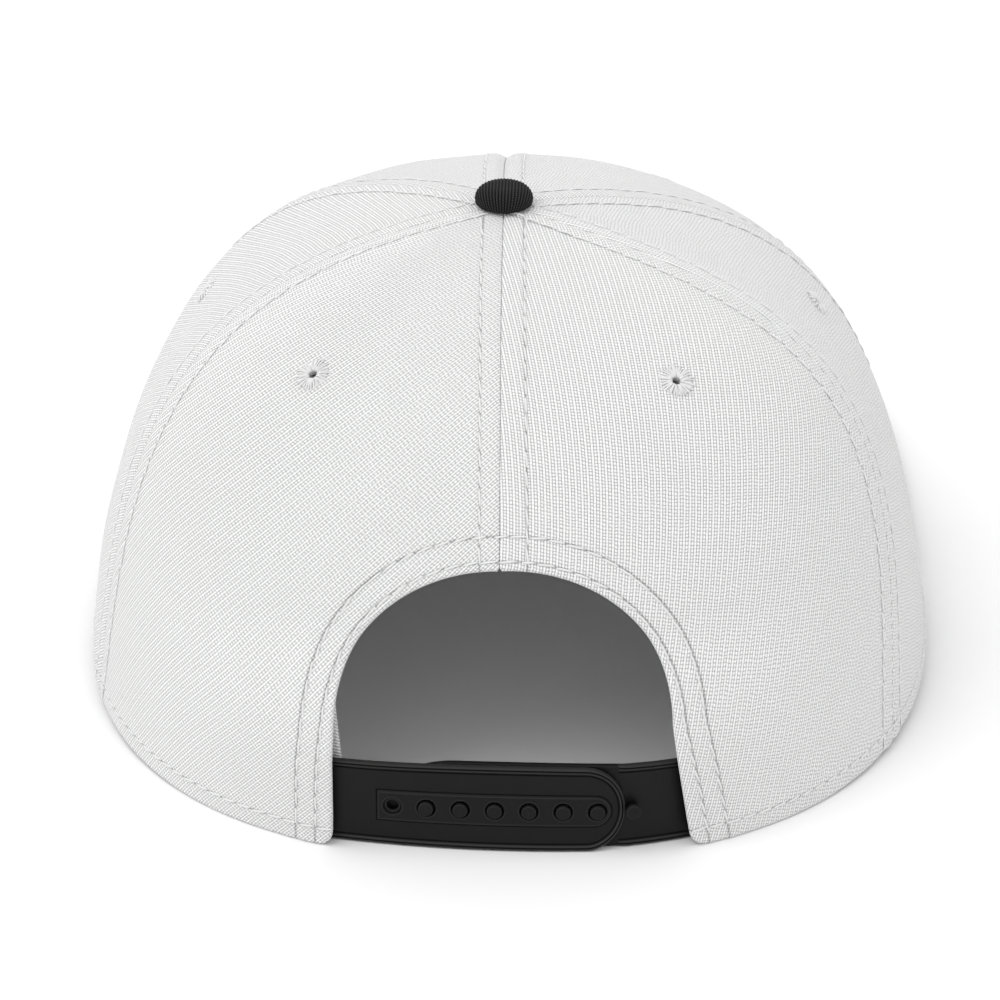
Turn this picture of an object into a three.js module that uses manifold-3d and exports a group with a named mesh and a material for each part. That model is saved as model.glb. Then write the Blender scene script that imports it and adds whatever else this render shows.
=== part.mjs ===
// Snapback cap: six cloth gores, a flat visor and a plastic snap strap.
// Millimetres, +Z up. The visor points along +Y, the strap closes the back at -Y.
// An azimuth runs in degrees from the front (0) by the right side (90) to the back (180).
// A climb runs from the rim of the crown (0) to its top (1).

import * as THREE from 'three';
import { mergeVertices } from 'three/addons/utils/BufferGeometryUtils.js';
import Module from 'manifold-3d';

const solids = await Module();
solids.setup();

// Fit between neighbouring pieces, and between the cloth and what is tucked under it
const gap = 0.3;
const tuckClearance = 0.5;

// Crown
const crownHalfWidth = 87;
const crownFrontDepth = 98;
const crownBackDepth = 92;
const crownHeight = 98.8;
const crownSquareness = 2.25;
const topSlope = 0.05;
const topShift = -1.4;
const clothWall = 1.6;
const goreSag = 2.1;
const rimLevelAzimuth = 145;
const backFrom = 100;
const backTo = 260;

// Arched opening in the back gores
const archCentre = 1;
const archHalfWidth = 33;
const archSpring = 26;
const archTop = 54;
const archLeftFoot = -32.3;
const archRightFoot = 38;

// Visor
const visorReach = 68;
const visorHalfAngle = 72;
const visorSideReach = 1.5;
const visorSquareness = 3;
const visorThickness = 3.4;
const visorTuck = 3.2;
const visorArch = 7;
const visorRootRise = 2;
const visorEdgeRound = 1.2;
const visorEdgeThin = 0.4;

// Button and its rivet
const buttonRadius = 5.85;
const buttonHeight = 3.6;
const buttonSideHeight = 0.45;
const buttonUndercut = 0.35;
const buttonFullness = 0.8;
const rivetPostRadius = 1.7;
const rivetDiscRadius = 5;
const rivetDiscThickness = 1;
const rivetDiscDrop = 0.4;

// Eyelets
const eyeletHoleRadius = 1.05;
const eyeletStemRadius = 1.9;
const eyeletRingRadius = 3.4;
const eyeletRingHeight = 0.7;
const eyeletBackClearance = 0.6;

// Sweatband
const bandHeight = 30;
const bandWall = 1.2;
const bandRimSetback = 1;
const bandLeftReveal = 1.6;
const bandRightSetback = 1;
const bandStepLength = 9;

// Snap strap
const strapHeight = 18.3;
const strapThickness = 1.2;
const strapLift = 0.2;
const strapTuck = 12;
const strapFlattening = 2.1;
const strapUprighting = 2.4;
const strapStepLength = 9;
const pegPitch = 6.6;
const pegCount = 7;
const pegRadius = 1.55;
const pegProud = 0.5;
const pegEmbed = 0.8;
const holeClearance = 0.4;
const holeRowCentre = -0.8;
const tipBeyondHole = 5;
const channelHalfHeight = 3.3;
const channelRaise = 0.3;
const channelMargin = 2.6;

// Seams between the gores; bow is how far one swings aside halfway up, in degrees.
const seams = [
  { seam: 'front', azimuth: 0, bow: 0 },
  { seam: 'front right', azimuth: 62, bow: 0 },
  { seam: 'back right', azimuth: 120, bow: -5 },
  { seam: 'back', azimuth: 180, bow: 0 },
  { seam: 'back left', azimuth: 249.5, bow: -7.5 },
  { seam: 'front left', azimuth: 308, bow: 0 },
  { seam: 'front again', azimuth: 360, bow: 0 },
];

// Upright profile of the crown, the same on both sides. lean is how far the wall tips
// inward and shoulder how wide the top stays, as shares of the plan radius there.
// rise is how far the wall climbs before it turns, as a share of the crown height.
const profiles = [
  { azimuth: 0, lean: 0, rise: 0.57, shoulder: 0.69 },
  { azimuth: 50, lean: 0, rise: 0.58, shoulder: 0.71 },
  { azimuth: 90, lean: 0.02, rise: 0.56, shoulder: 0.74 },
  { azimuth: 120, lean: 0.06, rise: 0.63, shoulder: 0.94 },
  { azimuth: 150, lean: 0.08, rise: 0.54, shoulder: 0.66 },
  { azimuth: 180, lean: 0.09, rise: 0.53, shoulder: 0.6 },
];

// Gores in azimuth order, each with the place of its eyelet.
const gores = [
  { side: 'front_right', eyeletAzimuth: 30, eyeletClimb: 0.6 },
  { side: 'side_right', eyeletAzimuth: 77, eyeletClimb: 0.51 },
  { side: 'back_right', eyeletAzimuth: 142, eyeletClimb: 0.63 },
  { side: 'back_left', eyeletAzimuth: 220, eyeletClimb: 0.63 },
  { side: 'side_left', eyeletAzimuth: 283, eyeletClimb: 0.52 },
  { side: 'front_left', eyeletAzimuth: 330, eyeletClimb: 0.6 },
];

// Fineness of the meshes
const goreColumns = 10;
const goreRows = 15;
const visorColumns = 28;
const visorRows = 5;
const bandColumns = 44;
const bandRows = 3;
const strapColumns = 12;
const strapRows = 2;
const tipColumns = 5;
const tipLastAngle = 80;
const domeRings = 6;
const archSides = 32;
const roundSides = 12;
const searchSteps = 22;

// Small helpers

const radians = THREE.MathUtils.degToRad;
const lerp = THREE.MathUtils.lerp;
const smooth = (share) => THREE.MathUtils.smoothstep(share, 0, 1);
const foldAzimuth = (azimuth) => Math.abs(((azimuth + 180) % 360 + 360) % 360 - 180);
const fullAzimuth = (azimuth) => (azimuth % 360 + 360) % 360;

// The value between low and high at which a rising measure reaches its target.
function search(low, high, target, measure) {
  for (let step = 0; step < searchSteps; step += 1) {
    const middle = (low + high) / 2;
    if (measure(middle) < target) {
      low = middle;
    } else {
      high = middle;
    }
  }
  return (low + high) / 2;
}

// Crown surface

function planRadius(azimuth) {
  const side = Math.abs(Math.sin(radians(azimuth)));
  const along = Math.cos(radians(azimuth));
  const depth = along > 0 ? crownFrontDepth : crownBackDepth;
  const sum = (side / crownHalfWidth) ** crownSquareness
    + (Math.abs(along) / depth) ** crownSquareness;
  return sum ** (-1 / crownSquareness);
}

function planPoint(azimuth, inset = 0) {
  const radius = planRadius(azimuth) - inset;
  return new THREE.Vector2(radius * Math.sin(radians(azimuth)), radius * Math.cos(radians(azimuth)));
}

function profileAt(azimuth, column) {
  const folded = foldAzimuth(azimuth);
  const last = profiles.length - 1;
  let row = profiles.findIndex((profile) => profile.azimuth > folded) - 1;
  row = row < 0 ? last - 1 : row;
  const tangent = (index) => {
    if (index === 0 || index === last) {
      return 0;
    }
    const before = profiles[index - 1];
    const after = profiles[index + 1];
    return (after[column] - before[column]) / (after.azimuth - before.azimuth);
  };
  const span = profiles[row + 1].azimuth - profiles[row].azimuth;
  const share = (folded - profiles[row].azimuth) / span;
  const rise = smooth(share);
  const startPull = share * (1 - share) ** 2 * span * tangent(row);
  const endPull = share ** 2 * (share - 1) * span * tangent(row + 1);
  return lerp(profiles[row][column], profiles[row + 1][column], rise) + startPull + endPull;
}

function seamAzimuth(index, climb) {
  return seams[index].azimuth + seams[index].bow * Math.sin(Math.PI * climb);
}

// 0 on a seam and 1 halfway between two seams.
function goreMiddle(azimuth, climb) {
  const full = fullAzimuth(azimuth);
  let index = 0;
  while (index < gores.length - 1 && full >= seamAzimuth(index + 1, climb)) {
    index += 1;
  }
  const start = seamAzimuth(index, climb);
  const share = (full - start) / (seamAzimuth(index + 1, climb) - start);
  return 4 * share * (1 - share);
}

// Visor board

const visorRoot = planPoint(visorHalfAngle);
const visorHalfWidth = visorRoot.x + visorSideReach;
const visorTip = crownFrontDepth + visorReach;

function visorBend({ x, y }) {
  const along = THREE.MathUtils.clamp((y - visorRoot.y) / (visorTip - visorRoot.y), 0, 1);
  const across = Math.min(Math.abs(x) / visorHalfWidth, 1);
  return visorArch * (1 - across ** 2) + visorRootRise * (1 - along);
}

function visorEdge(angle) {
  const power = 2 / visorSquareness;
  const across = Math.sign(angle) * Math.abs(Math.sin(radians(angle))) ** power;
  const along = Math.cos(radians(angle)) ** power;
  return new THREE.Vector2(visorHalfWidth * across, lerp(visorRoot.y, visorTip, along));
}

// Spots in plan from the root, tucked in under the rim, to the thinned outer edge.
function visorSpots(column) {
  const angle = lerp(-89.9, 89.9, column / visorColumns);
  const root = planPoint(angle * visorHalfAngle / 90, visorTuck);
  const edge = visorEdge(angle);
  const rounded = visorEdgeRound / root.distanceTo(edge);
  const spots = [];
  for (let row = 0; row < visorRows; row += 1) {
    const share = (1 - rounded) * row / (visorRows - 1);
    spots.push({ spot: root.clone().lerp(edge, share), halfThickness: visorThickness / 2 });
  }
  spots.push({ spot: edge, halfThickness: visorThickness / 2 * visorEdgeThin });
  return spots;
}

const visorGrid = Array.from({ length: visorColumns + 1 }, (_, column) => visorSpots(column));
const visorLow = Math.min(...visorGrid.flat().map(({ spot, halfThickness }) =>
  visorBend(spot) + visorThickness / 2 - halfThickness));

// Height of the middle of the board when its lowest stretch lies on the ground.
function visorMiddle(spot) {
  return visorBend(spot) - visorLow + visorThickness / 2;
}

// The rim stands on the visor in front and comes down to the ground behind.
function rimHeight(azimuth) {
  const folded = foldAzimuth(azimuth);
  const seated = planPoint(Math.min(folded, visorHalfAngle));
  const onVisor = visorMiddle(seated) + visorThickness / 2 + gap;
  return onVisor * smooth((rimLevelAzimuth - folded) / (rimLevelAzimuth - visorHalfAngle));
}

function crownPoint(azimuth, climb, sag = goreSag) {
  const radius = planRadius(azimuth);
  const lean = profileAt(azimuth, 'lean');
  const rise = profileAt(azimuth, 'rise');
  const shoulder = profileAt(azimuth, 'shoulder');
  const foot = rimHeight(azimuth);
  const wallTop = lerp(foot, crownHeight, rise);
  const topEdge = crownHeight - topSlope * radius * shoulder;
  const rest = 1 - climb;
  const weights = [rest ** 3, 3 * climb * rest ** 2, 3 * climb ** 2 * rest, climb ** 3];
  const reach = radius * (weights[0] + weights[1] * (1 - lean) + weights[2] * shoulder);
  const height = weights[0] * foot + weights[1] * wallTop + weights[2] * topEdge
    + weights[3] * crownHeight;
  const dip = sag * (reach / radius) * Math.sin(Math.PI * climb) * goreMiddle(azimuth, climb);
  return new THREE.Vector3(
    (reach - dip) * Math.sin(radians(azimuth)) + topShift * climb,
    (reach - dip) * Math.cos(radians(azimuth)),
    height,
  );
}

// Walls take their thickness along the normal of the crown without its sag, so that
// neighbouring gores stay apart along their seam.
function crownNormal(azimuth, climb, sag = 0) {
  const climbStep = 0.002;
  const azimuthStep = 1;
  const below = crownPoint(azimuth, Math.max(climb - climbStep, 0), sag);
  const above = crownPoint(azimuth, climb + climbStep, sag);
  const left = crownPoint(azimuth - azimuthStep, climb, sag);
  const right = crownPoint(azimuth + azimuthStep, climb, sag);
  return above.sub(below).cross(right.sub(left)).normalize();
}

// A point below the outer face of the crown; at the rim the wall is cut level.
function shellPoint(azimuth, climb, depth, sag = goreSag) {
  const normal = crownNormal(azimuth, climb);
  if (climb === 0) {
    normal.setZ(0).normalize();
  }
  return crownPoint(azimuth, climb, sag).addScaledVector(normal, -depth);
}

function climbAtHeight(azimuth, height) {
  return search(0, 1, height, (climb) => crownPoint(azimuth, climb, 0).z);
}

function climbAtRadius(azimuth, radius) {
  const distance = (climb) => {
    const point = crownPoint(azimuth, climb);
    return Math.hypot(point.x - topShift * climb, point.y);
  };
  return search(0.5, 1, -radius, (climb) => -distance(climb));
}

// The place on the back of the crown at a given distance aside and height.
function backAzimuth(x, height) {
  const aside = (azimuth) => -crownPoint(azimuth, climbAtHeight(azimuth, height), 0).x;
  return search(backFrom, backTo, -x, aside);
}

// Solids

function signedVolume(points, triangles) {
  let sum = 0;
  for (const [a, b, c] of triangles) {
    sum += points[a].dot(points[b].clone().cross(points[c]));
  }
  return sum / 6;
}

function closedGeometry(points, triangles) {
  const outward = signedVolume(points, triangles) > 0;
  const geometry = new THREE.BufferGeometry();
  geometry.setAttribute('position', new THREE.Float32BufferAttribute(
    points.flatMap((point) => point.toArray()), 3));
  geometry.setIndex(triangles.flatMap(([a, b, c]) => (outward ? [a, b, c] : [a, c, b])));
  return geometry;
}

// A closed wall between two grids of points, one grid for each face.
function wallGeometry(outer, inner) {
  const columns = outer.length;
  const rows = outer[0].length;
  const points = [...outer.flat(), ...inner.flat()];
  const far = columns * rows;
  const at = (column, row) => column * rows + row;
  const triangles = [];
  const quad = (a, b, c, d) => triangles.push([a, b, c], [a, c, d]);
  for (let column = 0; column < columns - 1; column += 1) {
    for (let row = 0; row < rows - 1; row += 1) {
      const [a, b] = [at(column, row), at(column, row + 1)];
      const [c, d] = [at(column + 1, row + 1), at(column + 1, row)];
      quad(a, b, c, d);
      quad(d + far, c + far, b + far, a + far);
    }
    for (const row of [0, rows - 1]) {
      const [a, d] = [at(column, row), at(column + 1, row)];
      if (row === 0) {
        quad(a, d, d + far, a + far);
      } else {
        quad(d, a, a + far, d + far);
      }
    }
  }
  for (let row = 0; row < rows - 1; row += 1) {
    for (const column of [0, columns - 1]) {
      const [a, b] = [at(column, row), at(column, row + 1)];
      if (column === 0) {
        quad(b, a, a + far, b + far);
      } else {
        quad(a, b, b + far, a + far);
      }
    }
  }
  return closedGeometry(points, triangles);
}

function toSolid(geometry) {
  const bare = geometry.clone();
  bare.deleteAttribute('normal');
  bare.deleteAttribute('uv');
  const merged = mergeVertices(bare, 1e-4);
  return new solids.Manifold(new solids.Mesh({
    numProp: 3,
    vertProperties: new Float32Array(merged.attributes.position.array),
    triVerts: new Uint32Array(merged.index.array),
  }));
}

function fromSolid(solid) {
  const mesh = solid.getMesh();
  const geometry = new THREE.BufferGeometry();
  geometry.setAttribute('position', new THREE.BufferAttribute(mesh.vertProperties, 3));
  geometry.setIndex(new THREE.BufferAttribute(mesh.triVerts, 1));
  return geometry;
}

// A round bar that starts at a point and runs along a direction.
function barGeometry(start, direction, radius, length) {
  const bar = new THREE.CylinderGeometry(radius, radius, length, roundSides);
  bar.translate(0, length / 2, 0);
  const turn = new THREE.Quaternion().setFromUnitVectors(new THREE.Vector3(0, 1, 0), direction);
  return bar.applyQuaternion(turn).translate(start.x, start.y, start.z);
}

// Crown gores

const rivetHoleRadius = rivetPostRadius + gap;
const eyeletBoreRadius = eyeletStemRadius + gap;

function goreGeometry(index) {
  const outer = [];
  const inner = [];
  for (let column = 0; column <= goreColumns; column += 1) {
    const outerColumn = [];
    const innerColumn = [];
    const across = column / goreColumns;
    const aim = lerp(seamAzimuth(index, 1), seamAzimuth(index + 1, 1), across);
    const topClimb = climbAtRadius(aim, rivetHoleRadius);
    for (let row = 0; row <= goreRows; row += 1) {
      const climb = topClimb * row / goreRows;
      const start = seamAzimuth(index, climb);
      const end = seamAzimuth(index + 1, climb);
      const reach = Math.hypot(...crownPoint(lerp(start, end, across), climb).toArray().slice(0, 2));
      const inset = THREE.MathUtils.radToDeg(gap / 2 / reach);
      const azimuth = lerp(start + inset, end - inset, across);
      outerColumn.push(shellPoint(azimuth, climb, 0));
      innerColumn.push(shellPoint(azimuth, climb, clothWall));
    }
    outer.push(outerColumn);
    inner.push(innerColumn);
  }
  return wallGeometry(outer, inner);
}

function archCutter() {
  const outline = new THREE.Shape();
  const below = -archSpring;
  outline.moveTo(archLeftFoot, below);
  outline.lineTo(archRightFoot, below);
  outline.lineTo(archRightFoot, 0);
  outline.lineTo(archCentre + archHalfWidth, archSpring);
  outline.absellipse(archCentre, archSpring, archHalfWidth, archTop - archSpring, 0, Math.PI);
  outline.lineTo(archLeftFoot, archSpring);
  const length = crownBackDepth;
  const cutter = new THREE.ExtrudeGeometry(outline, {
    depth: length,
    bevelEnabled: false,
    curveSegments: archSides,
  });
  return cutter.rotateX(Math.PI / 2).translate(0, -length / 4, 0);
}

function eyeletFrame({ eyeletAzimuth, eyeletClimb }) {
  const outside = crownPoint(eyeletAzimuth, eyeletClimb);
  return { outside, direction: crownNormal(eyeletAzimuth, eyeletClimb, goreSag) };
}

function gore(index) {
  const { outside, direction } = eyeletFrame(gores[index]);
  const start = outside.clone().addScaledVector(direction, -2 * clothWall);
  const bore = barGeometry(start, direction, eyeletBoreRadius, 4 * clothWall);
  let solid = toSolid(goreGeometry(index)).subtract(toSolid(bore));
  if (gores[index].side.startsWith('back')) {
    solid = solid.subtract(toSolid(archCutter()));
  }
  return fromSolid(solid);
}

// Eyelets, button and rivet

// A sewn ring on both faces of the cloth, joined through the bore.
function eyelet(index) {
  const { outside, direction } = eyeletFrame(gores[index]);
  const face = gap;
  const back = -clothWall - eyeletBackClearance;
  const crest = (eyeletStemRadius + eyeletRingRadius) / 2;
  const ring = [
    [eyeletHoleRadius, back - eyeletRingHeight / 2],
    [crest, back - eyeletRingHeight],
    [eyeletRingRadius, back],
    [eyeletStemRadius, back],
    [eyeletStemRadius, face],
    [eyeletRingRadius, face],
    [eyeletRingRadius, face + eyeletRingHeight / 3],
    [crest, face + eyeletRingHeight],
    [eyeletHoleRadius, face + eyeletRingHeight / 2],
    [eyeletHoleRadius, back - eyeletRingHeight / 2],
  ].map(([radius, height]) => new THREE.Vector2(radius, height));
  const turn = new THREE.Quaternion().setFromUnitVectors(new THREE.Vector3(0, 1, 0), direction);
  return new THREE.LatheGeometry(ring, roundSides)
    .applyQuaternion(turn)
    .translate(outside.x, outside.y, outside.z);
}

function turned(profile, base) {
  const points = profile.map(([radius, height]) => new THREE.Vector2(radius, height));
  return new THREE.LatheGeometry(points, 2 * roundSides)
    .rotateX(Math.PI / 2)
    .translate(topShift, 0, base);
}

// A dome over a short side that turns in at the cloth.
function button() {
  const dome = [[0, 0], [buttonRadius - buttonUndercut, 0]];
  for (let ring = 0; ring < domeRings; ring += 1) {
    const angle = Math.PI / 2 * ring / domeRings;
    const radius = buttonRadius * Math.cos(angle) ** buttonFullness;
    dome.push([radius, lerp(buttonSideHeight, buttonHeight, Math.sin(angle))]);
  }
  dome.push([0, buttonHeight]);
  return turned(dome, crownHeight + gap);
}

function buttonRivet() {
  const discTop = crownHeight - clothWall - gap - rivetDiscDrop;
  return turned([
    [0, -rivetDiscThickness],
    [rivetDiscRadius, -rivetDiscThickness],
    [rivetDiscRadius, 0],
    [rivetPostRadius, 0],
    [rivetPostRadius, crownHeight - discTop],
    [0, crownHeight - discTop],
  ], discTop);
}

// Visor

function visor() {
  const face = (side) => visorGrid.map((spots) => spots.map(({ spot, halfThickness }) =>
    new THREE.Vector3(spot.x, spot.y, visorMiddle(spot) + side * halfThickness)));
  return wallGeometry(face(1), face(-1));
}

// Sweatband

const tuckDepth = clothWall + tuckClearance;

function sweatband() {
  const outer = [];
  const inner = [];
  const leftEnd = (height) => {
    const reveal = bandLeftReveal * (1 - height / bandHeight);
    return backAzimuth(archLeftFoot + reveal, height) - 360;
  };
  const rightEnd = (height) => backAzimuth(archRightFoot + bandRightSetback, height);
  for (let column = 0; column <= bandColumns; column += 1) {
    const outerColumn = [];
    const innerColumn = [];
    for (let row = 0; row <= bandRows; row += 1) {
      const across = column / bandColumns;
      const lift = lerp(bandRimSetback, bandHeight, row / bandRows);
      const azimuth = lerp(leftEnd(lift), rightEnd(lift), across);
      const climb = climbAtHeight(azimuth, Math.max(rimHeight(azimuth) + bandRimSetback, lift));
      const rimArc = radians(Math.min(azimuth - leftEnd(lift), rightEnd(lift) - azimuth))
        * planRadius(azimuth);
      const overStrap = smooth((strapTuck + bandStepLength - rimArc) / bandStepLength);
      const depth = tuckDepth + overStrap * (strapThickness + gap);
      outerColumn.push(shellPoint(azimuth, climb, depth));
      innerColumn.push(shellPoint(azimuth, climb, depth + bandWall));
    }
    outer.push(outerColumn);
    inner.push(innerColumn);
  }
  return wallGeometry(outer, inner);
}

// Snap strap

const archHalfSpan = (archRightFoot - archLeftFoot) / 2;
const archMiddle = (archRightFoot + archLeftFoot) / 2;
const strapMiddle = strapLift + strapHeight / 2;
const holes = Array.from({ length: pegCount }, (_, index) =>
  holeRowCentre + (index - (pegCount - 1) / 2) * pegPitch);
const pegs = holes.map((place) => place + pegPitch);
const outerTip = holes[pegCount - 1] + tipBeyondHole;
const innerTip = pegs[0] - tipBeyondHole;

// Between the feet of the arch the strap stands straighter than the crown.
function strapPoint(x, height, depth) {
  const aside = Math.min(Math.abs(x - archMiddle) / archHalfSpan, 1);
  const free = (1 - aside ** 2) ** 2;
  const azimuth = backAzimuth(x, height);
  const climb = climbAtHeight(azimuth, height);
  const relief = free * (strapFlattening - strapUprighting * height / strapHeight);
  const outward = crownNormal(azimuth, climb).setZ(0).normalize();
  return crownPoint(azimuth, climb, goreSag * (1 - free))
    .addScaledVector(outward, -tuckDepth - relief - depth);
}

function strapNormal(x, height) {
  return strapPoint(x, height, 0).sub(strapPoint(x, height, 1)).normalize();
}

// The strap with the pegs dips behind the other one where they overlap.
function underDepth(x) {
  const dip = smooth((outerTip + strapStepLength - x) / strapStepLength);
  return dip * (strapThickness + gap);
}

// A curved plate from its square end to its round end, between two depths.
function strapPlate(squareEnd, roundEnd, halfHeight, outerDepth, innerDepth) {
  const toward = Math.sign(roundEnd - squareEnd);
  const centre = roundEnd - toward * halfHeight;
  const columns = [];
  for (let column = 0; column < strapColumns; column += 1) {
    columns.push({ x: lerp(squareEnd, centre, column / strapColumns), half: halfHeight });
  }
  for (let column = 0; column <= tipColumns; column += 1) {
    const angle = radians(tipLastAngle * column / tipColumns);
    columns.push({
      x: centre + toward * halfHeight * Math.sin(angle),
      half: halfHeight * Math.cos(angle),
    });
  }
  const face = (depthAt) => columns.map(({ x, half }) => {
    const points = [];
    for (let row = 0; row <= strapRows; row += 1) {
      const height = strapMiddle + half * (2 * row / strapRows - 1);
      points.push(strapPoint(x, height, depthAt(x)));
    }
    return points;
  });
  return wallGeometry(face(outerDepth), face(innerDepth));
}

function strapHoles() {
  const halfHeight = strapHeight / 2;
  const plate = toSolid(strapPlate(archLeftFoot - strapTuck, outerTip, halfHeight,
    () => 0, () => strapThickness));
  const channel = toSolid(strapPlate(holes[0] - channelMargin, holes[pegCount - 1] + channelMargin,
    channelHalfHeight, () => -channelRaise, () => strapThickness / 2));
  let solid = plate.add(channel);
  for (const place of holes) {
    const normal = strapNormal(place, strapMiddle);
    const start = strapPoint(place, strapMiddle, 2 * strapThickness);
    const bore = barGeometry(start, normal, pegRadius + holeClearance, 4 * strapThickness);
    solid = solid.subtract(toSolid(bore));
  }
  return fromSolid(solid);
}

function strapPegs() {
  const halfHeight = strapHeight / 2;
  let solid = toSolid(strapPlate(archRightFoot + strapTuck, innerTip, halfHeight,
    underDepth, (x) => underDepth(x) + strapThickness));
  for (const place of pegs) {
    const normal = strapNormal(place, strapMiddle);
    const start = strapPoint(place, strapMiddle, underDepth(place) + pegEmbed);
    const length = pegEmbed + gap + strapThickness + channelRaise + pegProud;
    solid = solid.add(toSolid(barGeometry(start, normal, pegRadius, length)));
  }
  return fromSolid(solid);
}

// Finishes

function finish(color, roughness) {
  return new THREE.MeshStandardMaterial({ color, roughness, metalness: 0 });
}

const whiteTwill = () => finish(0xf1f1ef, 0.9);
const whiteThread = () => finish(0xfafafa, 0.7);
const whiteRib = () => finish(0xe9e9e6, 0.9);
const blackTwill = () => finish(0x151515, 0.85);
const blackPlastic = () => finish(0x242424, 0.5);
const darkMetal = () => finish(0x3a3a3a, 0.4);

// Assembly

const model = new THREE.Group();

function addPiece(name, geometry, material) {
  const piece = new THREE.Mesh(geometry, material);
  piece.name = name;
  model.add(piece);
}

gores.forEach(({ side }, index) => {
  addPiece(`crown_${side}`, gore(index), whiteTwill());
  addPiece(`eyelet_${side}`, eyelet(index), whiteThread());
});
addPiece('button', button(), blackTwill());
addPiece('button_rivet', buttonRivet(), darkMetal());
addPiece('visor', visor(), blackTwill());
addPiece('sweatband', sweatband(), whiteRib());
addPiece('strap_holes', strapHoles(), blackPlastic());
addPiece('strap_pegs', strapPegs(), blackPlastic());

// The origin is on the ground below the middle of the whole cap.
const extent = new THREE.Box3().setFromObject(model);
const middle = extent.getCenter(new THREE.Vector3());
model.position.set(-middle.x, -middle.y, -extent.min.z);

export default model;
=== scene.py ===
# %% [markdown]
# # A snapback cap, dressed around its CAD solids
#
# The cap stands on its rim and visor with its strap towards the camera. The solids give every
# size and place. This script adds what a workshop adds: woven cloth with folded edges, rows of
# stitches, sewn eyelets, a covered button and moulded detail on the strap.

import math

import bpy
import numpy as np
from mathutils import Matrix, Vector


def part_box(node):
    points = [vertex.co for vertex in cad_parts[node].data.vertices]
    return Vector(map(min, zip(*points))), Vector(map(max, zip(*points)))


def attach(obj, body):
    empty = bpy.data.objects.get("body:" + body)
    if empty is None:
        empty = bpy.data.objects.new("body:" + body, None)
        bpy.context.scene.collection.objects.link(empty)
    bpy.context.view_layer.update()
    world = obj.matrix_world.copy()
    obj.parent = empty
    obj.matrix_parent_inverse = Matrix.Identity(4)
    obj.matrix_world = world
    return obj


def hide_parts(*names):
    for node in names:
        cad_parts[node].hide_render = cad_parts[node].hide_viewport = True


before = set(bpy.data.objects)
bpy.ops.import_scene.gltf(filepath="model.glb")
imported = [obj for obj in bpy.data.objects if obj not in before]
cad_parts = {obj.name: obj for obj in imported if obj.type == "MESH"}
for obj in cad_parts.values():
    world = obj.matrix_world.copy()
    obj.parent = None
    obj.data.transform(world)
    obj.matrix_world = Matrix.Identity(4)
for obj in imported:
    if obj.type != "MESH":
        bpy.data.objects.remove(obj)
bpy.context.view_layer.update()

# %% [markdown]
# ## Where things are
#
# A cap is easiest to describe from the middle of its crown: an azimuth runs round it in degrees
# (0 in front, 90 on the right of the wearer, 180 at the back) and a climb runs up it, 0 at the
# rim and 1 at the top. Sizes below are in millimetres in that crown frame. The button sits on the
# crown's axis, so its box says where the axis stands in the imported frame.

# %% The crown frame
MM = 0.001
TOP_SHIFT = -1.4  # the crown's top stands this far aside of its base

button_low, button_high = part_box("button")
button_middle = (button_low + button_high) / 2
CROWN_AXIS = np.array([button_middle.x / MM - TOP_SHIFT, button_middle.y / MM, 0.0])


def to_frame(points):
    """Crown-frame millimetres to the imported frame's metres."""
    return (np.asarray(points, float) + CROWN_AXIS) * MM


def lerp(start, end, share):
    return start + (end - start) * share


def smooth(share):
    share = np.clip(share, 0, 1)
    return share * share * (3 - 2 * share)


def bell(distance, width):
    """1 at no distance, falling to nothing past the width."""
    return np.exp(-((distance / width) ** 2))


def normalised(vectors):
    return vectors / np.maximum(np.linalg.norm(vectors, axis=-1, keepdims=True), 1e-12)


print("crown axis at", CROWN_AXIS.round(3), "mm")

# %% [markdown]
# ## The camera
#
# The picture looks at the back of the cap from a little above, through a long lens: the far
# side of the crown is almost as large as the near one. The distance and the lens come from how
# the known widths shrink with depth, and the elevation from how round the rim looks.

# %% Camera
CAMERA_ELEVATION = math.radians(27.4)
CAMERA_YAW = math.radians(1.76)
CAMERA_DISTANCE = 1038.6
FOCAL_PIXELS = 4994.0
PICTURE_PIXELS = 1000
SENSOR_WIDTH = 36.0
CAMERA_TARGET = np.array([-2.2, 0.0, 31.5])

camera_back = np.array(
    [
        math.sin(CAMERA_YAW) * math.cos(CAMERA_ELEVATION),
        -math.cos(CAMERA_YAW) * math.cos(CAMERA_ELEVATION),
        math.sin(CAMERA_ELEVATION),
    ]
)
camera_data = bpy.data.cameras.new("camera")
camera_data.sensor_width = SENSOR_WIDTH
camera_data.lens = FOCAL_PIXELS * SENSOR_WIDTH / PICTURE_PIXELS
camera_data.clip_start = 0.05
camera = bpy.data.objects.new("camera", camera_data)
bpy.context.scene.collection.objects.link(camera)
camera.location = to_frame(CAMERA_TARGET + CAMERA_DISTANCE * camera_back)
camera.rotation_mode = "QUATERNION"
camera.rotation_quaternion = Vector(-camera_back).to_track_quat("-Z", "Y")
bpy.context.scene.camera = camera
print("lens", round(camera_data.lens, 1), "mm at", [round(v, 3) for v in camera.location])

# %% [markdown]
# ## The crown as a rule
#
# Six gores close into a dome. Its plan is a superellipse, squarer than an ellipse, and each
# upright profile is one cubic curve whose lean, rise and shoulder change round the cap. Cloth
# sags a little between two seams. The solids follow this rule, so cloth, stitches and eyelets
# made from it land on them without any fitting.

# %% Sizes of the crown
HALF_WIDTH = 87.0
FRONT_DEPTH = 98.0
BACK_DEPTH = 92.0
CROWN_HEIGHT = 98.8
SQUARENESS = 2.25
TOP_SLOPE = 0.05
CLOTH_WALL = 1.6
GORE_SAG = 2.1
RIM_LEVEL_AZIMUTH = 145.0
GAP = 0.3

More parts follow.
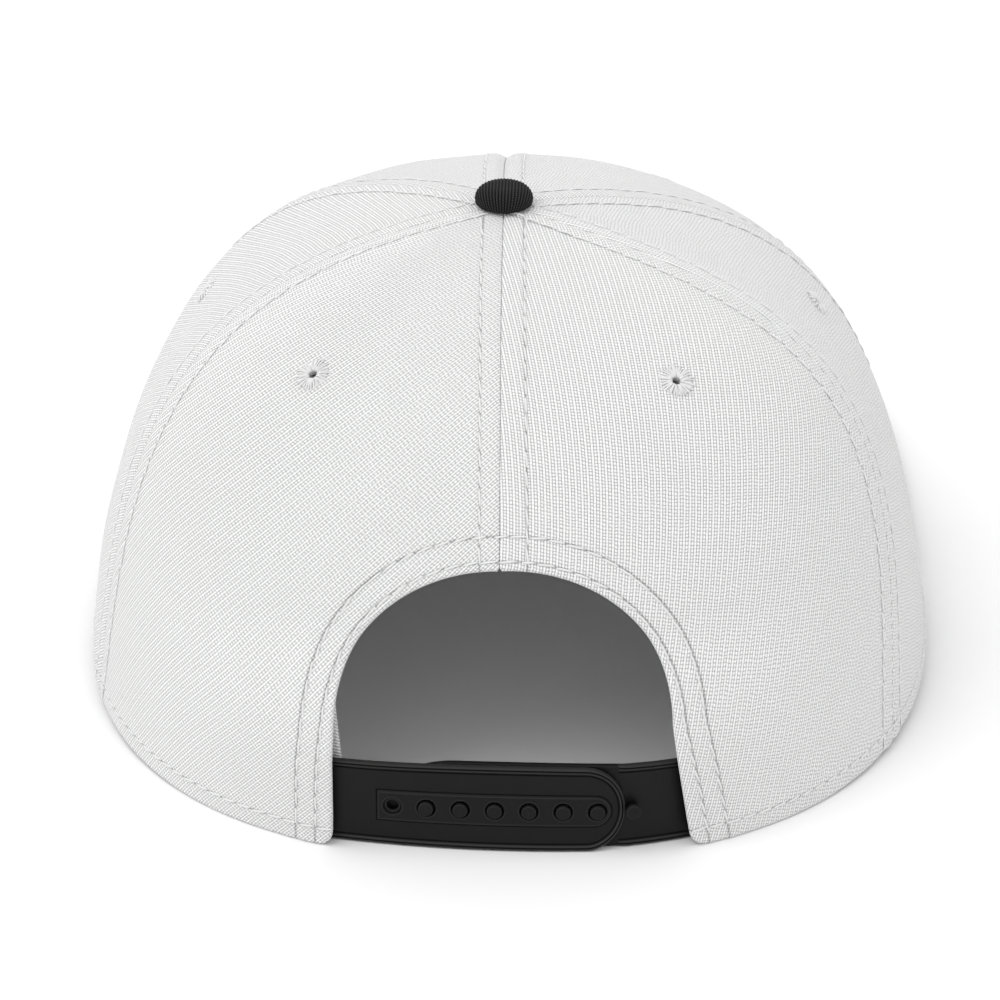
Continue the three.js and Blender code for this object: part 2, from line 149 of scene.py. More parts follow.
# The seams in azimuth order from the front one, with how far each swings aside halfway up.
SEAM_AZIMUTH = np.array([0, 62, 120, 180, 249.5, 308, 360.0])
SEAM_BOW = np.array([0, 0, -5, -0.4, -7.5, 0, 0.0])
FRONT_LEAN = -2.8  # degrees that the front seam wanders aside towards the top
GORE_NAMES = ["front_right", "side_right", "back_right", "back_left", "side_left", "front_left"]

PROFILE_AZIMUTH = np.array([0, 50, 90, 120, 150, 180.0])
PROFILE_LEAN = np.array([0, 0, 0.02, 0.06, 0.08, 0.09])
PROFILE_RISE = np.array([0.57, 0.58, 0.56, 0.63, 0.54, 0.53])
PROFILE_SHOULDER = np.array([0.69, 0.71, 0.74, 0.94, 0.66, 0.6])

VISOR_REACH = 68.0
VISOR_HALF_ANGLE = 72.0
VISOR_SIDE_REACH = 1.5
VISOR_SQUARENESS = 3.0
VISOR_THICKNESS = 3.4
VISOR_TUCK = 3.2
VISOR_ARCH = 7.0
VISOR_ROOT_RISE = 2.0
VISOR_EDGE_ROUND = 1.2
VISOR_EDGE_THIN = 0.4
VISOR_CAD_COLUMNS = 28
VISOR_CAD_ROWS = 5


# %% Plan, profile and seams
def fold_azimuth(azimuth):
    return np.abs((azimuth + 180) % 360 - 180)


def plan_radius(azimuth):
    along = np.cos(np.radians(azimuth))
    side = np.abs(np.sin(np.radians(azimuth)))
    depth = np.where(along > 0, FRONT_DEPTH, BACK_DEPTH)
    total = (side / HALF_WIDTH) ** SQUARENESS + (np.abs(along) / depth) ** SQUARENESS
    return total ** (-1 / SQUARENESS)


def plan_point(azimuth, inset=0.0):
    radius = plan_radius(azimuth) - inset
    turn = np.radians(azimuth)
    return np.stack([radius * np.sin(turn), radius * np.cos(turn)], -1)


def profile_at(azimuth, values):
    """A smooth curve through one column of the profile table, level at front and back."""
    folded = fold_azimuth(azimuth)
    slopes = np.zeros(len(values))
    slopes[1:-1] = (values[2:] - values[:-2]) / (PROFILE_AZIMUTH[2:] - PROFILE_AZIMUTH[:-2])
    row = np.searchsorted(PROFILE_AZIMUTH, folded, side="right") - 1
    row = np.clip(row, 0, len(values) - 2)
    span = PROFILE_AZIMUTH[row + 1] - PROFILE_AZIMUTH[row]
    share = (folded - PROFILE_AZIMUTH[row]) / span
    start_pull = share * (1 - share) ** 2 * span * slopes[row]
    end_pull = share**2 * (share - 1) * span * slopes[row + 1]
    return lerp(values[row], values[row + 1], smooth(share)) + start_pull + end_pull


def seam_azimuth(index, climb):
    lean = np.where(np.asarray(index) % 6 == 0, FRONT_LEAN, 0) * climb**2
    return SEAM_AZIMUTH[index] + SEAM_BOW[index] * np.sin(np.pi * climb) + lean


def full_azimuth(azimuth, climb):
    """Degrees round the crown, counted on from the front seam."""
    front = seam_azimuth(0, climb)
    return (azimuth - front) % 360 + front


def gore_middle(azimuth, climb):
    """0 on a seam and 1 halfway between two seams."""
    full = full_azimuth(azimuth, climb)
    index = sum((full >= seam_azimuth(seam, climb)).astype(int) for seam in range(1, 6))
    start = seam_azimuth(index, climb)
    share = (full - start) / (seam_azimuth(index + 1, climb) - start)
    return 4 * share * (1 - share)


# %% The visor board, which the front of the rim stands on
VISOR_ROOT_SIDE, VISOR_ROOT_FRONT = plan_point(VISOR_HALF_ANGLE)
VISOR_HALF_WIDTH = VISOR_ROOT_SIDE + VISOR_SIDE_REACH
VISOR_TIP = FRONT_DEPTH + VISOR_REACH


def visor_bend(spot):
    along = np.clip((spot[..., 1] - VISOR_ROOT_FRONT) / (VISOR_TIP - VISOR_ROOT_FRONT), 0, 1)
    across = np.minimum(np.abs(spot[..., 0]) / VISOR_HALF_WIDTH, 1)
    return VISOR_ARCH * (1 - across**2) + VISOR_ROOT_RISE * (1 - along)


def visor_edge(angle):
    power = 2 / VISOR_SQUARENESS
    turn = np.radians(angle)
    across = np.sign(angle) * np.abs(np.sin(turn)) ** power
    along = np.cos(turn) ** power
    return np.stack([VISOR_HALF_WIDTH * across, lerp(VISOR_ROOT_FRONT, VISOR_TIP, along)], -1)


def visor_root(angle):
    return plan_point(angle * VISOR_HALF_ANGLE / 90, VISOR_TUCK)


def lowest_bend():
    """How far the board's arch lifts its lowest stretch, on the grid that the solid has."""
    angle = np.linspace(-89.9, 89.9, VISOR_CAD_COLUMNS + 1)[:, None]
    root, edge = visor_root(angle), visor_edge(angle)
    reach = np.linalg.norm(edge - root, axis=-1, keepdims=True)
    share = np.linspace(0, 1, VISOR_CAD_ROWS)[None, :, None] * (1 - VISOR_EDGE_ROUND / reach)
    flat_low = visor_bend(lerp(root, edge, share)).min()
    edge_low = visor_bend(edge).min() + VISOR_THICKNESS / 2 * (1 - VISOR_EDGE_THIN)
    return min(flat_low, edge_low)


VISOR_LOW = lowest_bend()


def visor_middle(spot):
    """Height of the middle of the board, whose lowest stretch lies on the ground."""
    return visor_bend(spot) - VISOR_LOW + VISOR_THICKNESS / 2


def rim_height(azimuth):
    folded = fold_azimuth(azimuth)
    seated = plan_point(np.minimum(folded, VISOR_HALF_ANGLE))
    on_visor = visor_middle(seated) + VISOR_THICKNESS / 2 + GAP
    return on_visor * smooth((RIM_LEVEL_AZIMUTH - folded) / (RIM_LEVEL_AZIMUTH - VISOR_HALF_ANGLE))


print("visor half width", round(float(VISOR_HALF_WIDTH), 2), "mm")
print("lowest bend of the board", round(float(VISOR_LOW), 3), "mm")


# %% A point of the crown, and its outward direction
def crown_point(azimuth, climb, sag=GORE_SAG):
    azimuth, climb = np.broadcast_arrays(np.asarray(azimuth, float), np.asarray(climb, float))
    radius = plan_radius(azimuth)
    shoulder = profile_at(azimuth, PROFILE_SHOULDER)
    foot = rim_height(azimuth)
    wall_top = lerp(foot, CROWN_HEIGHT, profile_at(azimuth, PROFILE_RISE))
    top_edge = CROWN_HEIGHT - TOP_SLOPE * radius * shoulder
    rest = 1 - climb
    at_foot, at_wall, at_shoulder = rest**3, 3 * climb * rest**2, 3 * climb**2 * rest
    lean = profile_at(azimuth, PROFILE_LEAN)
    reach = radius * (at_foot + at_wall * (1 - lean) + at_shoulder * shoulder)
    height = at_foot * foot + at_wall * wall_top + at_shoulder * top_edge
    height = height + climb**3 * CROWN_HEIGHT
    dip = sag * (reach / radius) * np.sin(np.pi * climb) * gore_middle(azimuth, climb)
    turn = np.radians(azimuth)
    side = (reach - dip) * np.sin(turn) + TOP_SHIFT * climb
    return np.stack([side, (reach - dip) * np.cos(turn), height], -1)


def crown_normal(azimuth, climb, sag=0.0):
    climb = np.asarray(climb, float)
    up = crown_point(azimuth, climb + 0.002, sag)
    up = up - crown_point(azimuth, np.maximum(climb - 0.002, 0), sag)
    around = crown_point(azimuth + 1.0, climb, sag) - crown_point(azimuth - 1.0, climb, sag)
    return normalised(np.cross(up, around))


def reach_at(azimuth, climb):
    """Distance from the crown's leaning axis."""
    point = crown_point(azimuth, climb)
    return np.hypot(point[..., 0] - TOP_SHIFT * np.asarray(climb), point[..., 1])


# %% Finding a place on the crown by its height, radius or distance aside
def search(low, high, target, measure):
    """The value between low and high where a rising measure reaches its target."""
    low, high, target = (np.array(v, float) for v in np.broadcast_arrays(low, high, target))
    for _ in range(24):
        middle = (low + high) / 2
        below = measure(middle) < target
        low = np.where(below, middle, low)
        high = np.where(below, high, middle)
    return (low + high) / 2


def climb_at_height(azimuth, height):
    return search(0.0, 1.0, height, lambda climb: crown_point(azimuth, climb, 0.0)[..., 2])


def climb_at_radius(azimuth, radius):
    low = np.full(np.shape(azimuth), 0.5)
    return search(low, 1.0, -radius, lambda climb: -reach_at(azimuth, climb))


def back_azimuth(side, height):
    def aside(azimuth):
        return -crown_point(azimuth, climb_at_height(azimuth, height), 0.0)[..., 0]

    return search(100.0, 260.0, -np.asarray(side), aside)


# %% [markdown]
# ## The arch over the strap
#
# The two back gores are cut out in an arch. Its outline is drawn in the plane of the picture's
# back: an upright left side, half an ellipse over the top and a right side that flares towards
# its foot. The distance to that outline places the folded edge and both rows of stitches.

# %% Arch outline and the distance from it
ARCH_CENTRE = 1.0
ARCH_HALF_WIDTH = 33.0
ARCH_SPRING = 26.0
ARCH_TOP = 54.0
ARCH_LEFT_FOOT = -32.3
ARCH_RIGHT_FOOT = 38.0
ARCH_BELOW = -12.0
ARCH_POINTS = 90


def arch_outline():
    """Points from below the left foot, over the top, to below the right foot."""
    turn = np.linspace(np.pi, 0, ARCH_POINTS)
    over = np.stack(
        [
            ARCH_CENTRE + ARCH_HALF_WIDTH * np.cos(turn),
            ARCH_SPRING + (ARCH_TOP - ARCH_SPRING) * np.sin(turn),
        ],
        -1,
    )
    left = np.array([[ARCH_LEFT_FOOT, ARCH_BELOW], [ARCH_LEFT_FOOT, ARCH_SPRING * 0.7]])
    right = np.array([[ARCH_RIGHT_FOOT, 0.0], [ARCH_RIGHT_FOOT, ARCH_BELOW]])
    return np.concatenate([left, over, right])


def inside_arch(side, height):
    above = np.maximum(height - ARCH_SPRING, 0) / (ARCH_TOP - ARCH_SPRING)
    half = np.sqrt(np.maximum(1 - above**2, 0)) * ARCH_HALF_WIDTH
    flare = (ARCH_RIGHT_FOOT - ARCH_CENTRE - ARCH_HALF_WIDTH) * (1 - height / ARCH_SPRING)
    right = ARCH_CENTRE + half + np.clip(flare, 0, ARCH_RIGHT_FOOT - ARCH_CENTRE - ARCH_HALF_WIDTH)
    left = np.where(height < ARCH_SPRING * 0.7, ARCH_LEFT_FOOT, ARCH_CENTRE - half)
    return (side > left) & (side < right) & (height < ARCH_TOP)


def arch_distance(side, height):
    """Millimetres of cloth from the arch's edge; negative in the opening."""
    outline = arch_outline()
    start, along = outline[:-1], np.diff(outline, axis=0)
    spot = np.stack([side, height], -1).reshape(-1, 1, 2)
    share = ((spot - start) * along).sum(-1) / (along**2).sum(-1)
    nearest = start + np.clip(share, 0, 1)[..., None] * along
    distance = np.linalg.norm(spot - nearest, axis=-1).min(-1).reshape(np.shape(side))
    return np.where(inside_arch(side, height), -distance, distance)


print("arch", 2 * ARCH_HALF_WIDTH, "mm wide and", ARCH_TOP, "mm high")

# %% [markdown]
# ## Relief of the cloth
#
# Sewn cloth is never as smooth as the dome under it. Beside each seam the turned-in allowance
# lifts it by a fraction of a millimetre, the needle rows press it down again, and the fabric
# puckers softly between them. The hem round the rim and the arch does the same. All of it is
# one small height over the crown rule, so panels and stitches agree on it.

# %% Rows of stitches
# Each row runs beside a seam, at a distance in millimetres at the rim and at the top. A seam is
# named by its place in the list of seams, and a positive distance goes towards its higher azimuth.
SEAM_ROWS = [
    {"seam": 0, "rim": 4.0, "top": 4.0},
    {"seam": 0, "rim": -4.0, "top": -4.0},
    {"seam": 1, "rim": 4.2, "top": 3.6},
    {"seam": 1, "rim": -4.2, "top": -3.6},
    {"seam": 2, "rim": 4.6, "top": 3.6},
    {"seam": 2, "rim": -4.2, "top": -3.6},
    {"seam": 3, "rim": 3.7, "top": 4.2},
    {"seam": 3, "rim": -6.2, "top": -4.2},
    {"seam": 4, "rim": 4.4, "top": 3.6},
    {"seam": 4, "rim": -4.0, "top": -3.5},
    {"seam": 5, "rim": 4.2, "top": 3.6},
    {"seam": 5, "rim": -4.2, "top": -3.6},
]
HEM_ROW = 3.8

# Each arch row keeps one distance beside the strap and another over the top.
ARCH_ROWS = [{"foot": 3.3, "top": 1.6}, {"foot": 7.2, "top": 5.7}]
ARCH_ROW_FROM = 10.0
ARCH_ROW_TO = 42.0
EYELETS = {
    "front_right": (30.0, 0.6),
    "side_right": (77.0, 0.51),
    "back_right": (142.0, 0.63),
    "back_left": (220.0, 0.63),
    "side_left": (283.0, 0.52),
    "front_left": (330.0, 0.6),
}


def arch_row_distance(height, foot, top):
    return lerp(foot, top, smooth((height - ARCH_ROW_FROM) / (ARCH_ROW_TO - ARCH_ROW_FROM)))


def seam_offset(azimuth, climb, index):
    """Signed millimetres from a seam, along the crown."""
    turn = (np.asarray(azimuth) - seam_azimuth(index, climb) + 180) % 360 - 180
    return np.radians(turn) * reach_at(azimuth, climb)


# %% Heights of seams, hems and dents
FAR = 99.0  # stands for a distance where there is nothing to measure from
SEAM_VALLEY = 0.25
VALLEY_WIDTH = 0.8
SEAM_LIFT = 0.2
SEAM_ALLOWANCE = 3.0
SEAM_FADE = 2.4
FRONT_DIP = 0.7
FRONT_DIP_WIDTH = 1.5
ROW_PRESS = 0.12
ROW_WIDTH = 0.6
HEM_ALLOWANCE = 4.2
ARCH_ALLOWANCE = 8.4
HEM_FADE = 2.0
PUCKER = 0.1
PUCKER_LENGTH = 7.6
SEAM_PUCKER = {"at": 5.0, "width": 3.5}
ARCH_PUCKER = {"at": 5.4, "width": 2.6}
NEAR_ARCH_ASIDE = 60.0
NEAR_ARCH_HEIGHT = 75.0
SEAM_LENGTH = 150.0
DENT = 0.45


def seam_relief(azimuth, climb):
    relief = np.zeros(np.broadcast(azimuth, climb).shape)
    for index in range(6):
        offset = seam_offset(azimuth, climb, index)
        distance = np.abs(offset)
        lift = SEAM_LIFT * (1 - smooth((distance - SEAM_ALLOWANCE) / SEAM_FADE))
        wave = np.sin(2 * np.pi * SEAM_LENGTH * climb / PUCKER_LENGTH + 2.1 * index)
        wander = np.sin(0.31 * SEAM_LENGTH * climb + index) * 0.5 + 0.5
        pucker = PUCKER * wave * wander * bell(distance - SEAM_PUCKER["at"], SEAM_PUCKER["width"])
        press = sum(
            bell(offset - lerp(row["rim"], row["top"], climb), ROW_WIDTH)
            for row in SEAM_ROWS
            if row["seam"] == index
        )
        valley = SEAM_VALLEY * bell(distance, VALLEY_WIDTH)
        relief = relief + lift - valley - ROW_PRESS * press + pucker
        if index == 0:
            relief = relief - FRONT_DIP * bell(distance, FRONT_DIP_WIDTH)
    return relief


def hem_relief(azimuth, climb):
    point = crown_point(azimuth, climb)
    rise = point[..., 2] - rim_height(azimuth)
    relief = SEAM_LIFT * (1 - smooth((rise - HEM_ALLOWANCE) / HEM_FADE))
    relief = relief - ROW_PRESS * bell(rise - HEM_ROW, ROW_WIDTH)
    aside, height = np.abs(point[..., 0]), point[..., 2]
    back = (point[..., 1] < 0) & (aside < NEAR_ARCH_ASIDE) & (height < NEAR_ARCH_HEIGHT)
    distance = np.full(rise.shape, FAR)
    if back.any():
        distance[back] = arch_distance(point[..., 0][back], point[..., 2][back])
    lift = SEAM_LIFT * (1 - smooth((distance - ARCH_ALLOWANCE) / HEM_FADE))
    rows = [arch_row_distance(height, **row) for row in ARCH_ROWS]
    press = sum(bell(distance - row, ROW_WIDTH) for row in rows)
    wave = np.sin(2 * np.pi * (point[..., 0] + 0.7 * height) / PUCKER_LENGTH)
    pucker = PUCKER * wave * bell(distance - ARCH_PUCKER["at"], ARCH_PUCKER["width"])
    return relief + lift - ROW_PRESS * press + pucker


def dents(azimuth, climb):
    """Broad, shallow waves of handled cloth, strongest between the seams."""
    turn = np.radians(azimuth)
    wave = np.sin(3 * turn + 9 * climb + 0.6) + 0.7 * np.sin(7 * turn - 13 * climb + 2.0)
    wave = wave + 0.5 * np.sin(11 * turn + 21 * climb + 4.1)
    return DENT * 0.5 * wave * np.sin(np.pi * climb) * gore_middle(azimuth, climb)


TOP_FADE = 12.0  # seams run together this near to the button, so their relief fades there


def cloth_relief(azimuth, climb):
    fade = smooth(reach_at(azimuth, climb) / TOP_FADE)
    flat = seam_relief(azimuth, climb) * fade + hem_relief(azimuth, climb)
    return flat + dents(azimuth, climb)


sample = np.linspace(0, 360, 721)[:, None]
reliefs = cloth_relief(sample, np.linspace(0.02, 0.95, 60)[None, :])
print("cloth stands", reliefs.min().round(2), "to", reliefs.max().round(2), "mm off its rule")


# %% The strap pulls the legs of the arch upright
LEG_UPRIGHT_TO = 16.0
LEG_FADE_HEIGHT = 26.0
LEG_FADE_ASIDE = 25.0
LEG_FULL_ASIDE = 50.0


def leg_push(azimuth, climb):
    """Millimetres that the back wall stands out beside the strap, straight backwards."""
    point = crown_point(azimuth, climb)
    foot = crown_point(azimuth, 0 * climb)
    upright = np.maximum(point[..., 1] - foot[..., 1], 0) * (point[..., 1] < 0)
    upward = 1 - smooth((point[..., 2] - LEG_UPRIGHT_TO) / LEG_FADE_HEIGHT)
    aside = 1 - smooth((np.abs(point[..., 0]) - LEG_FULL_ASIDE) / LEG_FADE_ASIDE)
    return upright * upward * aside


def push_legs(points, azimuth, climb, share=1.0):
    points[..., 1] -= share * leg_push(azimuth, climb)
    return points


def cloth_point(azimuth, climb, lift=0.0):
    """The outer face of the sewn crown, or a point that far above it."""
    height = cloth_relief(azimuth, climb) + lift
    point = crown_point(azimuth, climb) + height[..., None] * crown_normal(azimuth, climb)
    return push_legs(point, azimuth, climb)


# %% [markdown]
# ## Sheets with folded edges
#
# Every cloth or plastic wall here is made the same way: a flat net of triangles is trimmed along
# a line, bent over its rule to an outer and an inner face, and closed round its edge by a roll,
# as folded cloth or a moulded lip has. A boolean would leave a sharp, ragged edge instead.

# %% A net of triangles, and trimming it
SNAP_SHARE = 0.3  # a point nearer to the cut than this share of its edge moves onto it


def net_triangles(columns, rows):
    """Triangles of a net of columns by rows points, all facing the same way."""
    at = np.arange(columns * rows).reshape(columns, rows)
    a, b, c, d = at[:-1, :-1], at[1:, :-1], at[1:, 1:], at[:-1, 1:]
    first = np.stack([a, b, c], -1).reshape(-1, 3)
    second = np.stack([a, c, d], -1).reshape(-1, 3)
    return np.concatenate([first, second])


def triangle_edges(triangles):
    return np.concatenate([triangles[:, [0, 1]], triangles[:, [1, 2]], triangles[:, [2, 0]]])


def snap_to_cut(spots, triangles, keep):
    """Moves points that nearly touch the cut onto it, so that no sliver is left."""
    edges = np.unique(np.sort(triangle_edges(triangles), axis=1), axis=0)
    a, b = edges[keep[edges[:, 0]] * keep[edges[:, 1]] < 0].T
    share = keep[a] / (keep[a] - keep[b])
    place = lerp(spots[a], spots[b], share[:, None])
    nearness = np.concatenate([share, 1 - share])
    nearest_last = np.argsort(-nearness)
    nearest_last = nearest_last[nearness[nearest_last] < SNAP_SHARE]
    point = np.concatenate([a, b])[nearest_last]
    spots[point] = np.concatenate([place, place])[nearest_last]
    keep[point] = 0


def trim(spots, triangles, keep):
    """The part of a net where keep is positive, cut straight along its zero line."""
    spots, keep = spots.copy(), keep.copy()
    snap_to_cut(spots, triangles, keep)
    value = keep[triangles]
    whole = (value >= 0).all(1) & (value > 0).any(1)
    crossed = (value > 0).any(1) & (value < 0).any(1)
    points, faces, made = list(spots), list(triangles[whole]), {}

    def cut_point(a, b):
        key = (min(a, b), max(a, b))
        if key not in made:
            share = keep[a] / (keep[a] - keep[b])
            made[key] = len(points)
            points.append(lerp(spots[a], spots[b], share))
        return made[key]

    for triangle in triangles[crossed]:
        corners = []
        for a, b in zip(triangle, np.roll(triangle, -1)):
            if keep[a] >= 0:
                corners.append(a)
            if keep[a] * keep[b] < 0:
                corners.append(cut_point(a, b))
        faces += [(corners[0], corners[i], corners[i + 1]) for i in range(1, len(corners) - 1)]
    used, renamed = np.unique(np.array(faces), return_inverse=True)
    return np.array(points)[used], renamed.reshape(-1, 3)


# %% Closing two faces with a rolled edge
def edge_outward(points, normal, triangles):
    """Edges of the net's border, and for each border point the way out along the sheet."""
    edges = triangle_edges(triangles)
    _, where, count = np.unique(np.sort(edges, 1), axis=0, return_inverse=True, return_counts=True)
    border = edges[count[where.ravel()] == 1]
    a, b = border.T
    out = normalised(np.cross(points[b] - points[a], normal[a] + normal[b]))
    total = np.zeros_like(points)
    np.add.at(total, a, out)
    np.add.at(total, b, out)
    return border, normalised(total)


def rolled_sheet(outer, inner, triangles, grain, roll, steps=6):
    """Points, faces and grain of a closed sheet, the number of faces on its outer side, and for
    each point the one of the net that it comes from."""
    count = len(outer)
    roll = np.broadcast_to(roll, count)[:, None]
    border, out = edge_outward(outer, outer - inner, triangles)
    rim = np.unique(border)
    slot = np.full(count, -1)
    slot[rim] = np.arange(len(rim))
    middle, half = (outer + inner)[rim] / 2, (outer - inner)[rim] / 2
    flat = np.concatenate([grain[:, :2], np.zeros((count, 1))], 1)
    _, out_grain = edge_outward(flat, np.tile([0.0, 0.0, 1.0], (count, 1)), triangles)
    rings, ring_grain = [], []
    for step in range(1, steps):
        turn = np.pi * step / steps
        rings.append(middle + half * np.cos(turn) + out[rim] * roll[rim] * np.sin(turn))
        ring_grain.append(flat[rim] + out_grain[rim] * turn * roll[rim])
    points = np.concatenate([outer, inner, *rings])
    all_grain = np.concatenate([flat, flat, *ring_grain])
    layers = [np.arange(count)]
    layers += [2 * count + len(rim) * step + slot for step in range(steps - 1)]
    layers += [np.arange(count) + count]
    a, b = border.T
    strips = [
        np.stack([upper[b], upper[a], lower[a], lower[b]], -1)
        for upper, lower in zip(layers, layers[1:])
    ]
    faces = triangles.tolist() + np.concatenate(strips).tolist()
    outside = len(faces)
    faces += (triangles[:, ::-1] + count).tolist()
    source = np.concatenate([np.arange(count), np.arange(count), np.tile(rim, steps - 1)])
    return points, faces, all_grain, outside, source


# %% Making a mesh object
def new_piece(name, points, faces, materials, inside_from=None, **fields):
    """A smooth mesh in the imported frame, flattened where it would sink into the ground. Faces
    from inside_from on take the second material. Each field is a vector for every point, which
    the materials read by its name."""
    mesh = bpy.data.meshes.new(name)
    on_ground = np.maximum(points, [-np.inf, -np.inf, 0])
    mesh.from_pydata(to_frame(on_ground).tolist(), [], faces)
    for material in materials:
        mesh.materials.append(material)
    if inside_from is not None:
        slots = np.zeros(len(faces), np.int32)
        slots[inside_from:] = 1
        mesh.polygons.foreach_set("material_index", slots)
    for field, values in fields.items():
        stored = mesh.attributes.new(field, "FLOAT_VECTOR", "POINT")
        stored.data.foreach_set("vector", np.asarray(values, np.float32).ravel())
    mesh.polygons.foreach_set("use_smooth", np.ones(len(mesh.polygons), bool))
    mesh.validate()
    mesh.update()
    piece = bpy.data.objects.new(name, mesh)
    bpy.context.scene.collection.objects.link(piece)
    return piece


def triangle_count(piece):
    return sum(len(face.vertices) - 2 for face in piece.data.polygons)


def settle(piece, slot, *nodes):
    """Puts a finished piece on the cap's body and hides the solids it stands for; its slot is not
    used.
    """
    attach(piece, "root")
    if nodes:
        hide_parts(*nodes)
    print(piece.name, "has", triangle_count(piece), "triangles")


# %% [markdown]
# ## Finishes
#
# Every finish is a small node tree. Cloth reads a grain attribute, which gives each point its
# place on the flat cut piece in millimetres, so that the weave follows the panel over the dome
# instead of sliding through it. Plastic and metal read object coordinates.


# %% Node helpers
def add_node(tree, kind, inputs=None, **settings):
    node = tree.nodes.new(kind)
    for name, value in settings.items():
        setattr(node, name, value)
    for key, value in (inputs or {}).items():
        if isinstance(value, bpy.types.NodeSocket):
            tree.links.new(value, node.inputs[key])
        else:
            node.inputs[key].default_value = value
    return node


def maths(tree, operation, *values):
    """A Math node's result; values are numbers or sockets."""
    return add_node(tree, "ShaderNodeMath", dict(enumerate(values)), operation=operation).outputs[0]


def mix_colour(tree, factor, start, end):
    node = add_node(tree, "ShaderNodeMix", data_type="RGBA")
    for socket, value in zip((node.inputs[0], node.inputs[6], node.inputs[7]), (factor, start, end)):
        if isinstance(value, bpy.types.NodeSocket):
            tree.links.new(value, socket)
        else:
            socket.default_value = value
    return node.outputs[2]


def grey(value):
    return (value, value, value, 1.0)


def new_finish(name, roughness, specular=0.5, sheen=0.0, metallic=0.0):
    """A material with its principled shader; constants go straight onto the sockets."""
    material = bpy.data.materials.new(name)
    material.use_nodes = True
    tree = material.node_tree
    shader = tree.nodes["Principled BSDF"]
    shader.inputs["Roughness"].default_value = roughness
    shader.inputs["Specular IOR Level"].default_value = specular
    shader.inputs["Sheen Weight"].default_value = sheen
    shader.inputs["Metallic"].default_value = metallic
    return material, tree, shader


def noise(tree, vector, scale, detail=3.0):
    inputs = {"Vector": vector, "Scale": scale, "Detail": detail}
    return add_node(tree, "ShaderNodeTexNoise", inputs).outputs[0]


def emboss(tree, shader, height, depth):
    """Bumps a shader by a height of 0 to 1 that is worth depth metres."""
    inputs = {"Height": height, "Distance": depth, "Strength": 1.0}
    bump = add_node(tree, "ShaderNodeBump", inputs)
    tree.links.new(bump.outputs[0], shader.inputs["Normal"])


# %% [markdown]
# ### Twill
#
# The crown is a twill: every yarn passes over two crosswise ones and under the next two, one
# step further on each time, which makes slanting ribs. The tree below works that out from the
# yarn's number and the place along it: ribs of warp and of weft take turns, a narrow pit runs
# between them, and short marks part the floats of the warp. Under the stitches the needle has
# pressed a narrow groove. Its distance is stored on the panel, so it is sharper than the net.
# The colour is painted darker in the pits, the marks between floats and the needle grooves: painted
# shade.

# %% Twill height from the grain
WARP_PITCH = 0.6
WEFT_PITCH = 0.33
RIB_FULLNESS = 0.42
FLOAT_FULLNESS = 0.5
WARP_MARK = 0.85
WEFT_MARK = 0.4
GROOVE_HALF_WIDTH = 0.34


def attribute_vector(tree, name):
    return add_node(tree, "ShaderNodeAttribute", attribute_name=name).outputs["Vector"]


def split(tree, vector):
    return add_node(tree, "ShaderNodeSeparateXYZ", {0: vector}).outputs


def scaled(tree, vector, x, y):
    node = add_node(tree, "ShaderNodeVectorMath", {0: vector, 1: (x, y, 1.0)}, operation="MULTIPLY")
    return node.outputs[0]


def twill_height(tree, yarn):
    """0 in the pits and 1 on the ribs, from the number of the warp yarn and of the weft one."""
    across, along = split(tree, yarn)[:2]
    rib_turn = maths(tree, "MULTIPLY", maths(tree, "SUBTRACT", along, across), math.pi / 2)
    wave = maths(tree, "SINE", rib_turn)
    rib = maths(tree, "POWER", maths(tree, "ABSOLUTE", wave), RIB_FULLNESS)
    on_warp = maths(tree, "GREATER_THAN", wave, 0.0)
    # Twist slants the floats, so the marks between them stand square to the rib.
    number = maths(tree, "MULTIPLY_ADD", along, 0.25, maths(tree, "MULTIPLY", across, 0.75))
    float_wave = maths(tree, "COSINE", maths(tree, "MULTIPLY", number, math.pi))
    yarn_float = maths(tree, "POWER", maths(tree, "ABSOLUTE", float_wave), FLOAT_FULLNESS)
    depth = maths(tree, "MULTIPLY_ADD", on_warp, WARP_MARK - WEFT_MARK, WEFT_MARK)
    gap = maths(tree, "MULTIPLY", depth, maths(tree, "SUBTRACT", 1.0, yarn_float))
    return maths(tree, "MULTIPLY", rib, maths(tree, "SUBTRACT", 1.0, gap))


def line_at(tree, distance, centre, half_width):
    """1 where a distance meets the centre, falling to 0 within the half width."""
    away = maths(tree, "ABSOLUTE", maths(tree, "SUBTRACT", distance, centre))
    near = maths(tree, "SUBTRACT", 1.0, maths(tree, "DIVIDE", away, half_width))
    return maths(tree, "MAXIMUM", near, 0.0)


def needle_groove(tree):
    """1 on the rows where the needle went, 0 elsewhere, from the distances on the panel."""
    total = 0.0
    for name in ("needle_seam", "needle_arch"):
        for distance in split(tree, attribute_vector(tree, name)):
            total = maths(tree, "MAXIMUM", total, line_at(tree, distance, 0.0, GROOVE_HALF_WIDTH))
    return total


